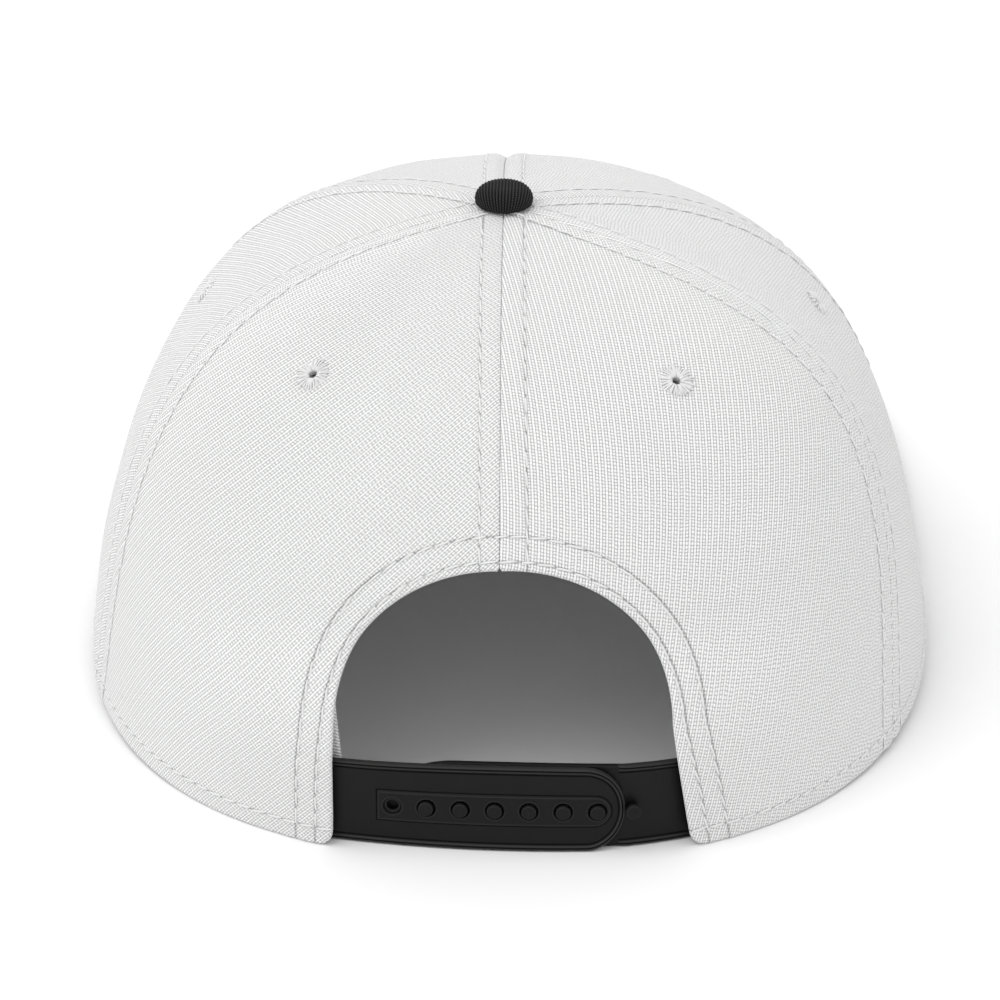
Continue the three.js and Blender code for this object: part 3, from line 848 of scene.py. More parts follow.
def twill_finish(name, pit, crest, depth, sheen):
    """Twill from the painted shade in its pits, its colour on the floats, and how far it stands up.
    """
    material, tree, shader = new_finish(name, 0.9, specular=0.2, sheen=sheen)
    yarn = scaled(tree, attribute_vector(tree, "grain"), 1 / WARP_PITCH, 1 / WEFT_PITCH)
    wander = maths(tree, "SUBTRACT", noise(tree, yarn, 0.12, 2.0), 0.5)
    wander = maths(tree, "MULTIPLY", wander, 1.6)
    shifted = add_node(tree, "ShaderNodeVectorMath", {0: yarn, 1: wander}, operation="ADD")
    woven = twill_height(tree, shifted.outputs[0])
    fuzz = noise(tree, yarn, 1.1, 3.0)
    woven = maths(tree, "MULTIPLY", woven, maths(tree, "MULTIPLY_ADD", fuzz, 1.1, 0.42))
    groove = needle_groove(tree)
    height = maths(tree, "SUBTRACT", woven, maths(tree, "MULTIPLY", groove, 0.7))
    emboss(tree, shader, height, depth)
    # Painted shade: the colour is darker in the weave's pits and along the needle grooves.
    shade = maths(tree, "SUBTRACT", woven, maths(tree, "MULTIPLY", groove, 0.6))
    colour = mix_colour(tree, shade, grey(pit), grey(crest))
    slub = noise(tree, attribute_vector(tree, "grain"), 0.11, 4.0)
    worn = mix_colour(tree, maths(tree, "MULTIPLY", slub, 0.05), colour, grey(pit * 0.6))
    tree.links.new(worn, shader.inputs["Base Color"])
    return material


white_twill = twill_finish("white_twill", 0.3, 0.94, 0.0002, 0.5)
black_twill = twill_finish("black_twill", 0.003, 0.016, 0.0002, 0.02)


# %% [markdown]
# ### Thread, lining, band, plastic and metal
#
# Sewing thread is two plies twisted together, and its colour is darker in the slanting grooves
# between them: painted shade. The inside of the crown is a plain pale backing, the sweatband is a
# ribbed tape and the button's cloth has beaded cords; each is painted darker between its raised
# yarns as painted shade, and the cords also get a painted highlight on their crests. The strap is
# moulded plastic with a fine grain, with a painted highlight on its ridges and painted shade in its
# creases. Their distances are stored on the strap, as the needle rows are.


# %% Thread
def thread_finish(name, dark, light):
    """Twisted thread. Its attribute ply gives turns round the thread and lengths along it."""
    material, tree, shader = new_finish(name, 0.7, specular=0.3, sheen=0.1)
    turns, length = split(tree, attribute_vector(tree, "ply"))[:2]
    slant = maths(tree, "ADD", maths(tree, "MULTIPLY", length, 2.0), turns)
    wave = maths(tree, "SINE", maths(tree, "MULTIPLY", slant, 4 * math.pi))
    twist = maths(tree, "MULTIPLY_ADD", wave, 0.5, 0.5)
    emboss(tree, shader, twist, 0.00006)
    # Painted shade: the colour is darker in the grooves between the plies.
    colour = mix_colour(tree, twist, grey(dark), grey(light))
    tree.links.new(colour, shader.inputs["Base Color"])
    return material


white_thread = thread_finish("white_thread", 0.72, 0.9)
black_thread = thread_finish("black_thread", 0.008, 0.03)


# %% Lining and sweatband
def backing_finish(name, dark, light):
    material, tree, shader = new_finish(name, 0.95, specular=0.15)
    yarn = scaled(tree, attribute_vector(tree, "grain"), 1 / 0.7, 1 / 0.7)
    waves = [
        maths(tree, "ABSOLUTE", maths(tree, "SINE", maths(tree, "MULTIPLY", part, math.pi)))
        for part in split(tree, yarn)[:2]
    ]
    height = maths(tree, "MULTIPLY", *waves)
    emboss(tree, shader, height, 0.0001)
    # Painted shade: the colour is darker between the raised yarns.
    colour = mix_colour(tree, height, grey(dark), grey(light))
    tree.links.new(colour, shader.inputs["Base Color"])
    return material


def ribbed_finish(name, dark, light, pitch):
    material, tree, shader = new_finish(name, 0.85, specular=0.2, sheen=0.1)
    parts = split(tree, scaled(tree, attribute_vector(tree, "grain"), 1 / pitch, 1 / pitch))
    rib = maths(tree, "SINE", maths(tree, "MULTIPLY", parts[1], 2 * math.pi))
    rib = maths(tree, "MULTIPLY_ADD", rib, 0.5, 0.5)
    knit = maths(tree, "SINE", maths(tree, "MULTIPLY", parts[0], 2 * math.pi))
    height = maths(tree, "ADD", rib, maths(tree, "MULTIPLY", knit, 0.15))
    emboss(tree, shader, height, 0.00018)
    # Painted shade: the colour is darker in the valleys between the ribs.
    colour = mix_colour(tree, rib, grey(dark), grey(light))
    tree.links.new(colour, shader.inputs["Base Color"])
    return material


pale_backing = backing_finish("pale_backing", 0.6, 0.85)
white_rib = ribbed_finish("white_rib", 0.5, 0.9, 0.62)


# %% Corded cloth of the button
CORD_PITCH = 0.66
BEAD_PITCH = 0.55


def corded_finish(name, dark, light):
    material, tree, shader = new_finish(name, 0.8, specular=0.12, sheen=0.02)
    across, along = split(tree, attribute_vector(tree, "grain"))[:2]
    place = maths(tree, "DIVIDE", across, CORD_PITCH)
    wave = maths(tree, "COSINE", maths(tree, "MULTIPLY", place, 2 * math.pi))
    cord = maths(tree, "POWER", maths(tree, "MULTIPLY_ADD", wave, 0.5, 0.5), 1.3)
    half_step = maths(tree, "MULTIPLY", maths(tree, "ROUND", place), 0.5)
    bead = maths(tree, "ADD", maths(tree, "DIVIDE", along, BEAD_PITCH), half_step)
    bead = maths(tree, "COSINE", maths(tree, "MULTIPLY", bead, 2 * math.pi))
    height = maths(tree, "MULTIPLY", cord, maths(tree, "MULTIPLY_ADD", bead, 0.35, 0.65))
    emboss(tree, shader, height, 0.0003)
    # Painted shade between the cords and beads, and a painted highlight on their crests.
    colour = mix_colour(tree, height, grey(dark), grey(light))
    tree.links.new(colour, shader.inputs["Base Color"])
    return material


black_cord = corded_finish("black_cord", 0.0005, 0.06)


# %% Plastic and metal
# Lines moulded into the strap: how far each lies inside its border, its channel or the rim of a
# hole, and half its width, in millimetres.
BORDER_RIDGES = [(0.26, 0.2), (0.95, 0.26)]
BORDER_CREASES = [(0.56, 0.2), (1.45, 0.25)]
CHANNEL_RIDGE = (0.3, 0.2)
CHANNEL_CREASE = (-0.15, 0.16)
HOLE_RIDGE = (0.05, 0.14)
FAINT = 0.45
# Colour of the painted highlight along the ridges.
PAINTED_RIDGE_HIGHLIGHT = 0.045


def moulded_finish(name, dark, light):
    material, tree, shader = new_finish(name, 0.5, specular=0.15)
    place = add_node(tree, "ShaderNodeTexCoord").outputs["Object"]
    grain = noise(tree, place, 5200.0, 2.0)
    handled = noise(tree, place, 160.0, 3.0)
    rough = maths(tree, "MULTIPLY_ADD", handled, 0.16, 0.34)
    tree.links.new(rough, shader.inputs["Roughness"])
    border, channel, ring = split(tree, attribute_vector(tree, "moulding"))
    ridge = 0.0
    for line in BORDER_RIDGES:
        ridge = maths(tree, "MAXIMUM", ridge, line_at(tree, border, *line))
    for distance, line in ((channel, CHANNEL_RIDGE), (ring, HOLE_RIDGE)):
        faint = maths(tree, "MULTIPLY", line_at(tree, distance, *line), FAINT)
        ridge = maths(tree, "MAXIMUM", ridge, faint)
    crease = line_at(tree, channel, *CHANNEL_CREASE)
    for line in BORDER_CREASES:
        crease = maths(tree, "MAXIMUM", crease, line_at(tree, border, *line))
    height = maths(tree, "MULTIPLY_ADD", grain, 0.08, ridge)
    height = maths(tree, "SUBTRACT", height, crease)
    emboss(tree, shader, height, 0.00008)
    colour = mix_colour(tree, handled, grey(dark), grey(light))
    # Painted highlight on the ridges, and painted shade in the creases, which also reflect less.
    colour = mix_colour(tree, maths(tree, "MULTIPLY", ridge, 0.8), colour, grey(PAINTED_RIDGE_HIGHLIGHT))
    colour = mix_colour(tree, maths(tree, "MULTIPLY", crease, 0.9), colour, grey(dark * 0.1))
    tree.links.new(colour, shader.inputs["Base Color"])
    dull = maths(tree, "MULTIPLY_ADD", crease, -0.13, 0.15)
    tree.links.new(dull, shader.inputs["Specular IOR Level"])
    return material


def metal_finish(name):
    material, tree, shader = new_finish(name, 0.4, metallic=1.0)
    place = add_node(tree, "ShaderNodeTexCoord").outputs["Object"]
    scratch = noise(tree, place, 900.0, 5.0)
    rough = maths(tree, "MULTIPLY_ADD", scratch, 0.3, 0.25)
    tree.links.new(rough, shader.inputs["Roughness"])
    emboss(tree, shader, scratch, 0.00002)
    colour = mix_colour(tree, scratch, grey(0.06), grey(0.16))
    tree.links.new(colour, shader.inputs["Base Color"])
    return material


black_plastic = moulded_finish("black_plastic", 0.0045, 0.007)
dark_metal = metal_finish("dark_metal")
print("finishes:", ", ".join(material.name for material in bpy.data.materials))

# %% [markdown]
# ## Crown panels
#
# Each gore is one piece of cloth between two seams. Its net crowds towards the seams, where the
# relief is finest, the two back ones are trimmed along the arch, and each has a small hole for
# its eyelet. The grain is the panel laid flat: lengths up its middle and out to both sides.

# %% Nets of the gores
GORE_COLUMNS = 112
GORE_ROWS = 144
CROWDING = 0.55
SEAM_ROLL = 0.25
SEAM_OVERLAP = 0.03
# How far each panel's warp leans to the left of its middle line, in degrees.
CUT = [-15.0, 38.0, 44.0, 25.0, 5.0, -15.0]
HEM_ROLL = 0.8
CORNER_RADIUS = 2.2
EYELET_HOLE = 2.3
EYELET_OUTER = 3.35
RIVET_HOLE = 2.0


def gore_net(index):
    """Azimuth, climb and seam-to-seam share of a gore's net, from the rim to the hole for the rivet.
    """
    even = np.linspace(0, 1, GORE_COLUMNS + 1)
    share = lerp(even, 0.5 - 0.5 * np.cos(np.pi * even), CROWDING)[:, None]
    aim = lerp(seam_azimuth(index, 1.0), seam_azimuth(index + 1, 1.0), share)
    top = climb_at_radius(aim, RIVET_HOLE)
    foot = rim_height(aim)
    steepness = 3 * profile_at(aim, PROFILE_RISE) * (CROWN_HEIGHT - foot)
    bottom = HEM_ROLL / steepness
    climb = lerp(bottom, top, np.linspace(0, 1, GORE_ROWS + 1)[None, :])
    start, end = seam_azimuth(index, climb), seam_azimuth(index + 1, climb)
    inset = np.degrees((SEAM_ROLL - SEAM_OVERLAP) / reach_at(lerp(start, end, share), climb))
    azimuth = lerp(start + inset, end - inset, share)
    return azimuth, climb, np.broadcast_to(share, climb.shape)


def laid_flat(points):
    """Grain of a net of points: right and up as seen from outside, from its middle column."""
    middle = points.shape[0] // 2
    steps = np.linalg.norm(np.diff(points, axis=0), axis=-1)
    across = np.concatenate([np.zeros((1, points.shape[1])), np.cumsum(steps, 0)])
    across = across[middle] - across
    rises = np.linalg.norm(np.diff(points[middle], axis=0), axis=-1)
    up = np.concatenate([[0.0], np.cumsum(rises)])
    return np.stack([across, np.broadcast_to(up, across.shape)], -1)


def gore_keep(index, azimuth, climb):
    """Positive where the gore has cloth: outside the arch and the eyelet's hole."""
    point = crown_point(azimuth, climb)
    centre = crown_point(*EYELETS[GORE_NAMES[index]])
    keep = np.linalg.norm(point - centre, axis=-1) - EYELET_HOLE
    if GORE_NAMES[index].startswith("back"):
        from_arch = arch_distance(point[:, 0], point[:, 2]) - HEM_ROLL
        from_rim = point[:, 2] - HEM_ROLL
        corner = CORNER_RADIUS - np.hypot(
            np.maximum(CORNER_RADIUS - from_arch, 0), np.maximum(CORNER_RADIUS - from_rim, 0)
        )
        near = (from_arch < CORNER_RADIUS) & (from_rim < CORNER_RADIUS)
        keep = np.minimum(keep, np.where(near, corner, from_arch))
    return keep


# %% Distances from the rows of stitches, for the pressed grooves
def row_distances(index, azimuth, climb):
    """Two vectors of signed distances: both seam rows and the hem row, then both arch rows."""
    seam = []
    for side, sign in ((index, 1), (index + 1, -1)):
        row = next(r for r in SEAM_ROWS if r["seam"] == side % 6 and r["rim"] * sign > 0)
        seam.append(seam_offset(azimuth, climb, side) - lerp(row["rim"], row["top"], climb))
    point = crown_point(azimuth, climb)
    seam.append(point[:, 2] - rim_height(azimuth) - HEM_ROW)
    arch = [np.full(len(azimuth), FAR)] * 3
    if GORE_NAMES[index].startswith("back"):
        distance = arch_distance(point[:, 0], point[:, 2])
        arch[:2] = [distance - arch_row_distance(point[:, 2], **row) for row in ARCH_ROWS]
    return np.stack(seam, -1), np.stack(arch, -1)


def turned(grain, degrees):
    """The grain of a panel whose warp leans that far to the left of its middle line."""
    turn = math.radians(degrees)
    across = grain[:, 0] * math.cos(turn) + grain[:, 1] * math.sin(turn)
    along = grain[:, 1] * math.cos(turn) - grain[:, 0] * math.sin(turn)
    return np.stack([across, along], -1)


# %% Sewn gores
def sew_gore(index):
    azimuth, climb, share = gore_net(index)
    grain = laid_flat(crown_point(azimuth, climb))
    columns = [azimuth[..., None], climb[..., None], grain, share[..., None]]
    spots = np.concatenate(columns, -1).reshape(-1, 5)
    triangles = net_triangles(*azimuth.shape)[:, ::-1]
    keep = gore_keep(index, spots[:, 0], spots[:, 1])
    spots, triangles = trim(spots, triangles, keep)
    azimuth, climb, share = spots[:, 0], spots[:, 1], spots[:, 4]
    outer = cloth_point(azimuth, climb)
    inner = outer - CLOTH_WALL * crown_normal(azimuth, climb)
    at_seam = (np.abs(share - 0.5) > 0.4999) | (outer[:, 2] > 0.9 * CROWN_HEIGHT)  # or the top
    roll = np.where(at_seam, SEAM_ROLL, HEM_ROLL)
    grain = turned(spots[:, 2:4], CUT[index])
    points, faces, grain, outside, source = rolled_sheet(outer, inner, triangles, grain, roll)
    seam, arch = row_distances(index, azimuth, climb)
    fields = {"grain": grain, "needle_seam": seam[source], "needle_arch": arch[source]}
    name = "panel_" + GORE_NAMES[index]
    panel = new_piece(name, points, faces, [white_twill, pale_backing], outside, **fields)
    settle(panel, "white_twill", "crown_" + GORE_NAMES[index])


for gore in range(6):
    sew_gore(gore)

# %% [markdown]
# ## Stitches
#
# A lock stitch shows as short raised threads that dive into the cloth at both ends. One thread is
# modelled once, and Geometry Nodes set it along every row at an even pitch, standing on the
# cloth and turned along the row, with a little of the unevenness of a real seam.


# %% One stitch
def thread_tube(line, radii, sides):
    """Points, faces and ply of a closed tube along a line in the x-z plane."""
    count = len(line)
    ahead = normalised(np.gradient(line, axis=0))
    side = np.array([0.0, 1.0, 0.0])
    up = np.cross(ahead, side)
    turn = np.arange(sides) / sides * 2 * np.pi
    ring = np.cos(turn)[None, :, None] * side + np.sin(turn)[None, :, None] * up[:, None, :]
    points = (line[:, None, :] + ring * np.asarray(radii)[:, None, None]).reshape(-1, 3)
    at = np.arange(count * sides).reshape(count, sides)
    after = np.roll(at, -1, axis=1)
    quads = np.stack([at[:-1], at[1:], after[1:], after[:-1]], -1).reshape(-1, 4)
    faces = quads.tolist() + [at[0].tolist(), at[-1][::-1].tolist()]
    along = np.concatenate([[0.0], np.cumsum(np.linalg.norm(np.diff(line, axis=0), axis=-1))])
    ply = np.stack(np.broadcast_arrays(turn[None, :] / (2 * np.pi), along[:, None], 0.0), -1)
    return points, faces, ply.reshape(-1, 3)


def thread_object(name, line, radii, sides, material):
    points, faces, ply = thread_tube(np.asarray(line, float), radii, sides)
    mesh = bpy.data.meshes.new(name)
    mesh.from_pydata((points * MM).tolist(), [], faces)
    mesh.materials.append(material)
    twist = mesh.attributes.new("ply", "FLOAT_VECTOR", "POINT")
    twist.data.foreach_set("vector", ply.astype(np.float32).ravel())
    mesh.polygons.foreach_set("use_smooth", np.ones(len(mesh.polygons), bool))
    return bpy.data.objects.new(name, mesh)


STITCH_PITCH = 3.7
STITCH_SHARE = 0.96
STITCH_TILT = 0.09
THREAD_RADIUS = 0.22
STITCH_RISE = 0.32


def one_stitch(name, material, pitch, radius, rise, rings=7, sides=6):
    share = np.linspace(-1, 1, rings)
    half = pitch * STITCH_SHARE / 2
    height = rise * (1 - np.abs(share) ** 3) - radius
    line = np.stack([share * half, 0 * share, height], -1)
    radii = radius * (1 - 0.45 * np.abs(share) ** 4)
    return thread_object(name, line, radii, sides, material)


white_stitch = one_stitch("white_stitch", white_thread, STITCH_PITCH, THREAD_RADIUS, STITCH_RISE)


# %% A tree that sews a row
def new_tree(name, inputs):
    """A Geometry Nodes tree with named inputs, and its input and output nodes."""
    tree = bpy.data.node_groups.new(name, "GeometryNodeTree")
    tree.interface.new_socket("Geometry", in_out="INPUT", socket_type="NodeSocketGeometry")
    tree.interface.new_socket("Geometry", in_out="OUTPUT", socket_type="NodeSocketGeometry")
    for title, kind in inputs.items():
        tree.interface.new_socket(title, in_out="INPUT", socket_type="NodeSocket" + kind)
    return tree, tree.nodes.new("NodeGroupInput"), tree.nodes.new("NodeGroupOutput")


def link_outputs(tree, output, geometry):
    tree.links.new(geometry, output.inputs[0])


def build_sewing_tree():
    inputs = {
        "Stitch": "Object",
        "Pitch": "Float",
        "Tilt": "Float",
        "Unevenness": "Float",
        "Seed": "Int",
        "Thread": "Material",
    }
    tree, given, output = new_tree("sew_a_row", inputs)
    take = given.outputs
    row = add_node(tree, "GeometryNodeMeshToCurve", {"Mesh": take["Geometry"]})
    spaced = add_node(
        tree,
        "GeometryNodeResampleCurve",
        {"Curve": row.outputs[0], "Length": take["Pitch"]},
        mode="LENGTH",
    )
    up = add_node(tree, "GeometryNodeInputNamedAttribute", {"Name": "up"}, data_type="FLOAT_VECTOR")
    along = add_node(tree, "GeometryNodeInputTangent")
    turn = add_node(
        tree,
        "FunctionNodeAxesToRotation",
        {"Primary Axis": up.outputs[0], "Secondary Axis": along.outputs[0]},
        primary_axis="Z",
        secondary_axis="X",
    )
    thread = add_node(tree, "GeometryNodeObjectInfo", {"Object": take["Stitch"]})
    placed = add_node(
        tree,
        "GeometryNodeInstanceOnPoints",
        {
            "Points": spaced.outputs[0],
            "Instance": thread.outputs["Geometry"],
            "Rotation": turn.outputs[0],
        },
    )
    low = maths(tree, "SUBTRACT", take["Tilt"], take["Unevenness"])
    high = maths(tree, "ADD", take["Tilt"], take["Unevenness"])
    lean = add_node(
        tree,
        "FunctionNodeRandomValue",
        {2: low, 3: high, "Seed": take["Seed"]},
        data_type="FLOAT",
    )
    sway = add_node(tree, "ShaderNodeCombineXYZ", {"Z": lean.outputs[1]})
    swayed = add_node(
        tree,
        "GeometryNodeRotateInstances",
        {"Instances": placed.outputs[0], "Rotation": sway.outputs[0]},
    )
    real = add_node(tree, "GeometryNodeRealizeInstances", {"Geometry": swayed.outputs[0]})
    dyed = add_node(
        tree,
        "GeometryNodeSetMaterial",
        {"Geometry": real.outputs[0], "Material": take["Thread"]},
    )
    link_outputs(tree, output, dyed.outputs[0])
    return tree


sewing_tree = build_sewing_tree()


# %% Running a tree over a mesh
def grow(name, base_mesh, tree, values, matrix=None):
    """A plain mesh object made by running a tree over a mesh, with its modifier gone."""
    carrier = bpy.data.objects.new(name + "_base", base_mesh)
    bpy.context.scene.collection.objects.link(carrier)
    modifier = carrier.modifiers.new("tree", "NODES")
    modifier.node_group = tree
    for item in tree.interface.items_tree:
        if item.in_out == "INPUT" and item.name in values:
            modifier[item.identifier] = values[item.name]
    depsgraph = bpy.context.evaluated_depsgraph_get()
    mesh = bpy.data.meshes.new_from_object(carrier.evaluated_get(depsgraph))
    mesh.name = name
    if matrix is not None:
        mesh.transform(matrix)
    bpy.data.objects.remove(carrier)
    piece = bpy.data.objects.new(name, mesh)
    bpy.context.scene.collection.objects.link(piece)
    return piece


def rows_mesh(name, rows):
    """One mesh of separate lines, each a pair of points and upward directions."""
    points, ups, edges, start = [], [], [], 0
    for line, up in rows:
        points.append(to_frame(line))
        ups.append(up)
        edges += [(start + i, start + i + 1) for i in range(len(line) - 1)]
        start += len(line)
    mesh = bpy.data.meshes.new(name)
    mesh.from_pydata(np.concatenate(points).tolist(), edges, [])
    upward = mesh.attributes.new("up", "FLOAT_VECTOR", "POINT")
    upward.data.foreach_set("vector", np.concatenate(ups).astype(np.float32).ravel())
    return mesh


def sew(name, rows, slot, stitch, thread, pitch=STITCH_PITCH, seed=1, unevenness=0.05):
    values = {
        "Stitch": stitch,
        "Pitch": pitch * MM,
        "Tilt": STITCH_TILT,
        "Unevenness": unevenness,
        "Seed": seed,
        "Thread": thread,
    }
    piece = grow(name, rows_mesh(name + "_rows", rows), sewing_tree, values)
    settle(piece, slot)


# %% Where the rows on the crown run
ROW_POINTS = 160
ROW_TOP_RADIUS = 7.4
ROW_FOOT = 2.2


def on_cloth(azimuth, climb):
    return cloth_point(azimuth, climb, 0.05), crown_normal(azimuth, climb, GORE_SAG)


def seam_row(seam, rim, top):
    base = SEAM_AZIMUTH[seam]
    last = float(climb_at_radius(np.array([base]), ROW_TOP_RADIUS)[0])
    first = float(climb_at_height(np.array([base]), rim_height(base) + ROW_FOOT)[0])
    climb = np.linspace(first, last, ROW_POINTS)
    middle = seam_azimuth(seam, climb)
    azimuth = middle + np.degrees(lerp(rim, top, climb) / reach_at(middle, climb))
    point = crown_point(azimuth, climb)
    clear = np.ones(len(climb), bool)
    if abs(base - 180) < 1:
        clear = arch_distance(point[:, 0], point[:, 2]) > STITCH_PITCH / 2 + 0.4
    return on_cloth(azimuth[clear], climb[clear])


def arch_row(foot, top):
    """A row beside the arch, from foot to foot."""
    outline = arch_outline()
    dense = np.linspace(0, len(outline) - 1, 4 * ROW_POINTS)
    line = np.stack([np.interp(dense, np.arange(len(outline)), outline[:, k]) for k in (0, 1)], -1)
    ahead = normalised(np.gradient(line, axis=0))
    distance = arch_row_distance(line[:, 1:], foot, top)
    line = line + distance * np.stack([-ahead[:, 1], ahead[:, 0]], -1)
    line = line[line[:, 1] > ROW_FOOT]
    azimuth = back_azimuth(line[:, 0], line[:, 1])
    return on_cloth(azimuth, climb_at_height(azimuth, line[:, 1]))


def hem_row(height):
    left = float(back_azimuth(ARCH_LEFT_FOOT - 1.5, height)) - 360
    right = float(back_azimuth(ARCH_RIGHT_FOOT + 1.5, height))
    azimuth = np.linspace(left, right, 4 * ROW_POINTS)
    return on_cloth(azimuth, climb_at_height(azimuth, rim_height(azimuth) + height))


seam_rows = [seam_row(**row) for row in SEAM_ROWS]
arch_rows = [arch_row(**row) for row in ARCH_ROWS]
sew("seam_stitching", seam_rows, "white_thread", white_stitch, white_thread, seed=3)
sew("arch_stitching", arch_rows, "white_thread", white_stitch, white_thread, seed=5)
sew("hem_stitching", [hem_row(HEM_ROW)], "white_thread", white_stitch, white_thread, seed=7)

# %% [markdown]
# ## Eyelets
#
# The eyelets are sewn, not metal: a close ring of threads wraps the edge of a punched hole. Each
# thread is the same arched strand, so Geometry Nodes set it round a circle over a soft ring of
# padding.

# %% A tree that sews an eyelet
STRANDS = 32
EYELET_INNER = 0.85
EYELET_STRETCH = (1.12, 0.9)  # sewn rings are never quite round
LONG_WAY = {"back_left": 42, "back_right": 140}  # degrees; the others lie along their own x
EYELET_CREST = 0.5
STRAND_RADIUS = 0.19


def build_eyelet_tree():
    inputs = {"Strand": "Object", "Strands": "Int", "Seed": "Int", "Thread": "Material"}
    tree, given, output = new_tree("sew_an_eyelet", inputs)
    take = given.outputs
    points = add_node(tree, "GeometryNodePoints", {"Count": take["Strands"]})
    number = add_node(tree, "GeometryNodeInputIndex")
    share = maths(tree, "DIVIDE", number.outputs[0], take["Strands"])
    angle = maths(tree, "MULTIPLY", share, 2 * math.pi)
    jitter = add_node(
        tree,
        "FunctionNodeRandomValue",
        {2: -0.09, 3: 0.09, "Seed": take["Seed"]},
        data_type="FLOAT",
    )
    angle = maths(tree, "ADD", angle, jitter.outputs[1])
    turn = add_node(tree, "ShaderNodeCombineXYZ", {"Z": angle})
    length = add_node(
        tree,
        "FunctionNodeRandomValue",
        {0: (0.84, 0.8, 0.8), 1: (1.08, 1.1, 1.2), "Seed": take["Seed"]},
        data_type="FLOAT_VECTOR",
    )
    strand = add_node(tree, "GeometryNodeObjectInfo", {"Object": take["Strand"]})
    placed = add_node(
        tree,
        "GeometryNodeInstanceOnPoints",
        {
            "Points": points.outputs[0],
            "Instance": strand.outputs["Geometry"],
            "Rotation": turn.outputs[0],
            "Scale": length.outputs[0],
        },
    )
    real = add_node(tree, "GeometryNodeRealizeInstances", {"Geometry": placed.outputs[0]})
    joined = add_node(tree, "GeometryNodeJoinGeometry")
    tree.links.new(take["Geometry"], joined.inputs[0])
    tree.links.new(real.outputs[0], joined.inputs[0])
    dyed = add_node(
        tree,
        "GeometryNodeSetMaterial",
        {"Geometry": joined.outputs[0], "Material": take["Thread"]},
    )
    link_outputs(tree, output, dyed.outputs[0])
    return tree


eyelet_tree = build_eyelet_tree()


# %% A strand, the padding under it, and six eyelets
def turned_mesh(profile, sides):
    """Points and faces of a closed ring turned about z from a closed loop of radius and height."""
    profile = np.asarray(profile, float)
    turn = np.arange(sides) / sides * 2 * np.pi
    points = np.stack(
        [
            profile[None, :, 0] * np.cos(turn)[:, None],
            profile[None, :, 0] * np.sin(turn)[:, None],
            np.broadcast_to(profile[None, :, 1], (sides, len(profile))),
        ],
        -1,
    )
    at = np.arange(sides * len(profile)).reshape(sides, len(profile))
    after, above = np.roll(at, -1, 0), np.roll(at, -1, 1)
    corner = np.roll(after, -1, 1)
    faces = np.stack([at, after, corner, above], -1).reshape(-1, 4)
    return points.reshape(-1, 3), faces.tolist()


strand_share = np.linspace(0, 1, 10)
strand_line = np.stack(
    [
        lerp(EYELET_INNER, EYELET_OUTER, strand_share),
        0 * strand_share,
        EYELET_CREST * np.sin(np.pi * strand_share**0.75) ** 0.8 - 0.12,
    ],
    -1,
)
strand = thread_object("eyelet_strand", strand_line, np.full(10, STRAND_RADIUS), 5, white_thread)
PADDING = [
    (EYELET_INNER + 0.1, -CLOTH_WALL - 0.5),
    (EYELET_OUTER - 0.4, -CLOTH_WALL - 0.5),
    (EYELET_OUTER - 0.5, -0.1),
    (2.4, 0.1),
    (1.6, 0.2),
    (EYELET_INNER + 0.1, 0.0),
]


def eyelet_place(azimuth, climb, turn):
    """Turns an eyelet's own z axis to the outward direction of the cloth, at its place."""
    outward = Vector(crown_normal(azimuth, climb, GORE_SAG))
    place = Vector(to_frame(cloth_point(azimuth, climb)))
    upright = outward.to_track_quat("Z", "Y").to_matrix().to_4x4()
    turned = Matrix.Rotation(math.radians(turn), 4, "Z")
    stretched = Matrix.Diagonal((*EYELET_STRETCH, 1, 1))
    return Matrix.Translation(place) @ upright @ turned @ stretched


for seed, (side, (azimuth, climb)) in enumerate(EYELETS.items()):
    points, faces = turned_mesh(PADDING, 40)
    padding = bpy.data.meshes.new("padding")
    padding.from_pydata((points * MM).tolist(), [], faces)
    values = {"Strand": strand, "Strands": STRANDS, "Seed": seed, "Thread": white_thread}
    place = eyelet_place(np.float64(azimuth), np.float64(climb), LONG_WAY.get(side, 0))
    sewn = grow("sewn_eyelet_" + side, padding, eyelet_tree, values, place)
    settle(sewn, "white_thread", "eyelet_" + side)

# %% [markdown]
# ## Covered button
#
# The button is a tin cap covered in black corded cloth, pulled tight and tucked under. A dome is
# enough for the form, with the cords running over it from front to back as real relief.

# %% Button dome
BUTTON_RADIUS = 5.85
BUTTON_HEIGHT = 3.9
BUTTON_SIDE = 0.9
BUTTON_RINGS = 54
BUTTON_SIDES = 216
BUTTON_FULLNESS = 0.52
CORD_RELIEF = 0.06


def dome_profile():
    """Radius and height from the tucked-in foot over the side to the top."""
    angle = np.linspace(0, np.pi / 2, BUTTON_RINGS)
    radius = BUTTON_RADIUS * np.cos(angle) ** BUTTON_FULLNESS
    height = lerp(BUTTON_SIDE, BUTTON_HEIGHT, np.sin(angle))
    foot_turn = np.linspace(-1.2, -0.15, 6)
    foot_radius = BUTTON_RADIUS - 0.45 * (1 - np.cos(foot_turn))
    foot_height = BUTTON_SIDE * (1 + np.sin(foot_turn))
    return np.concatenate([foot_radius, radius]), np.concatenate([foot_height, height])


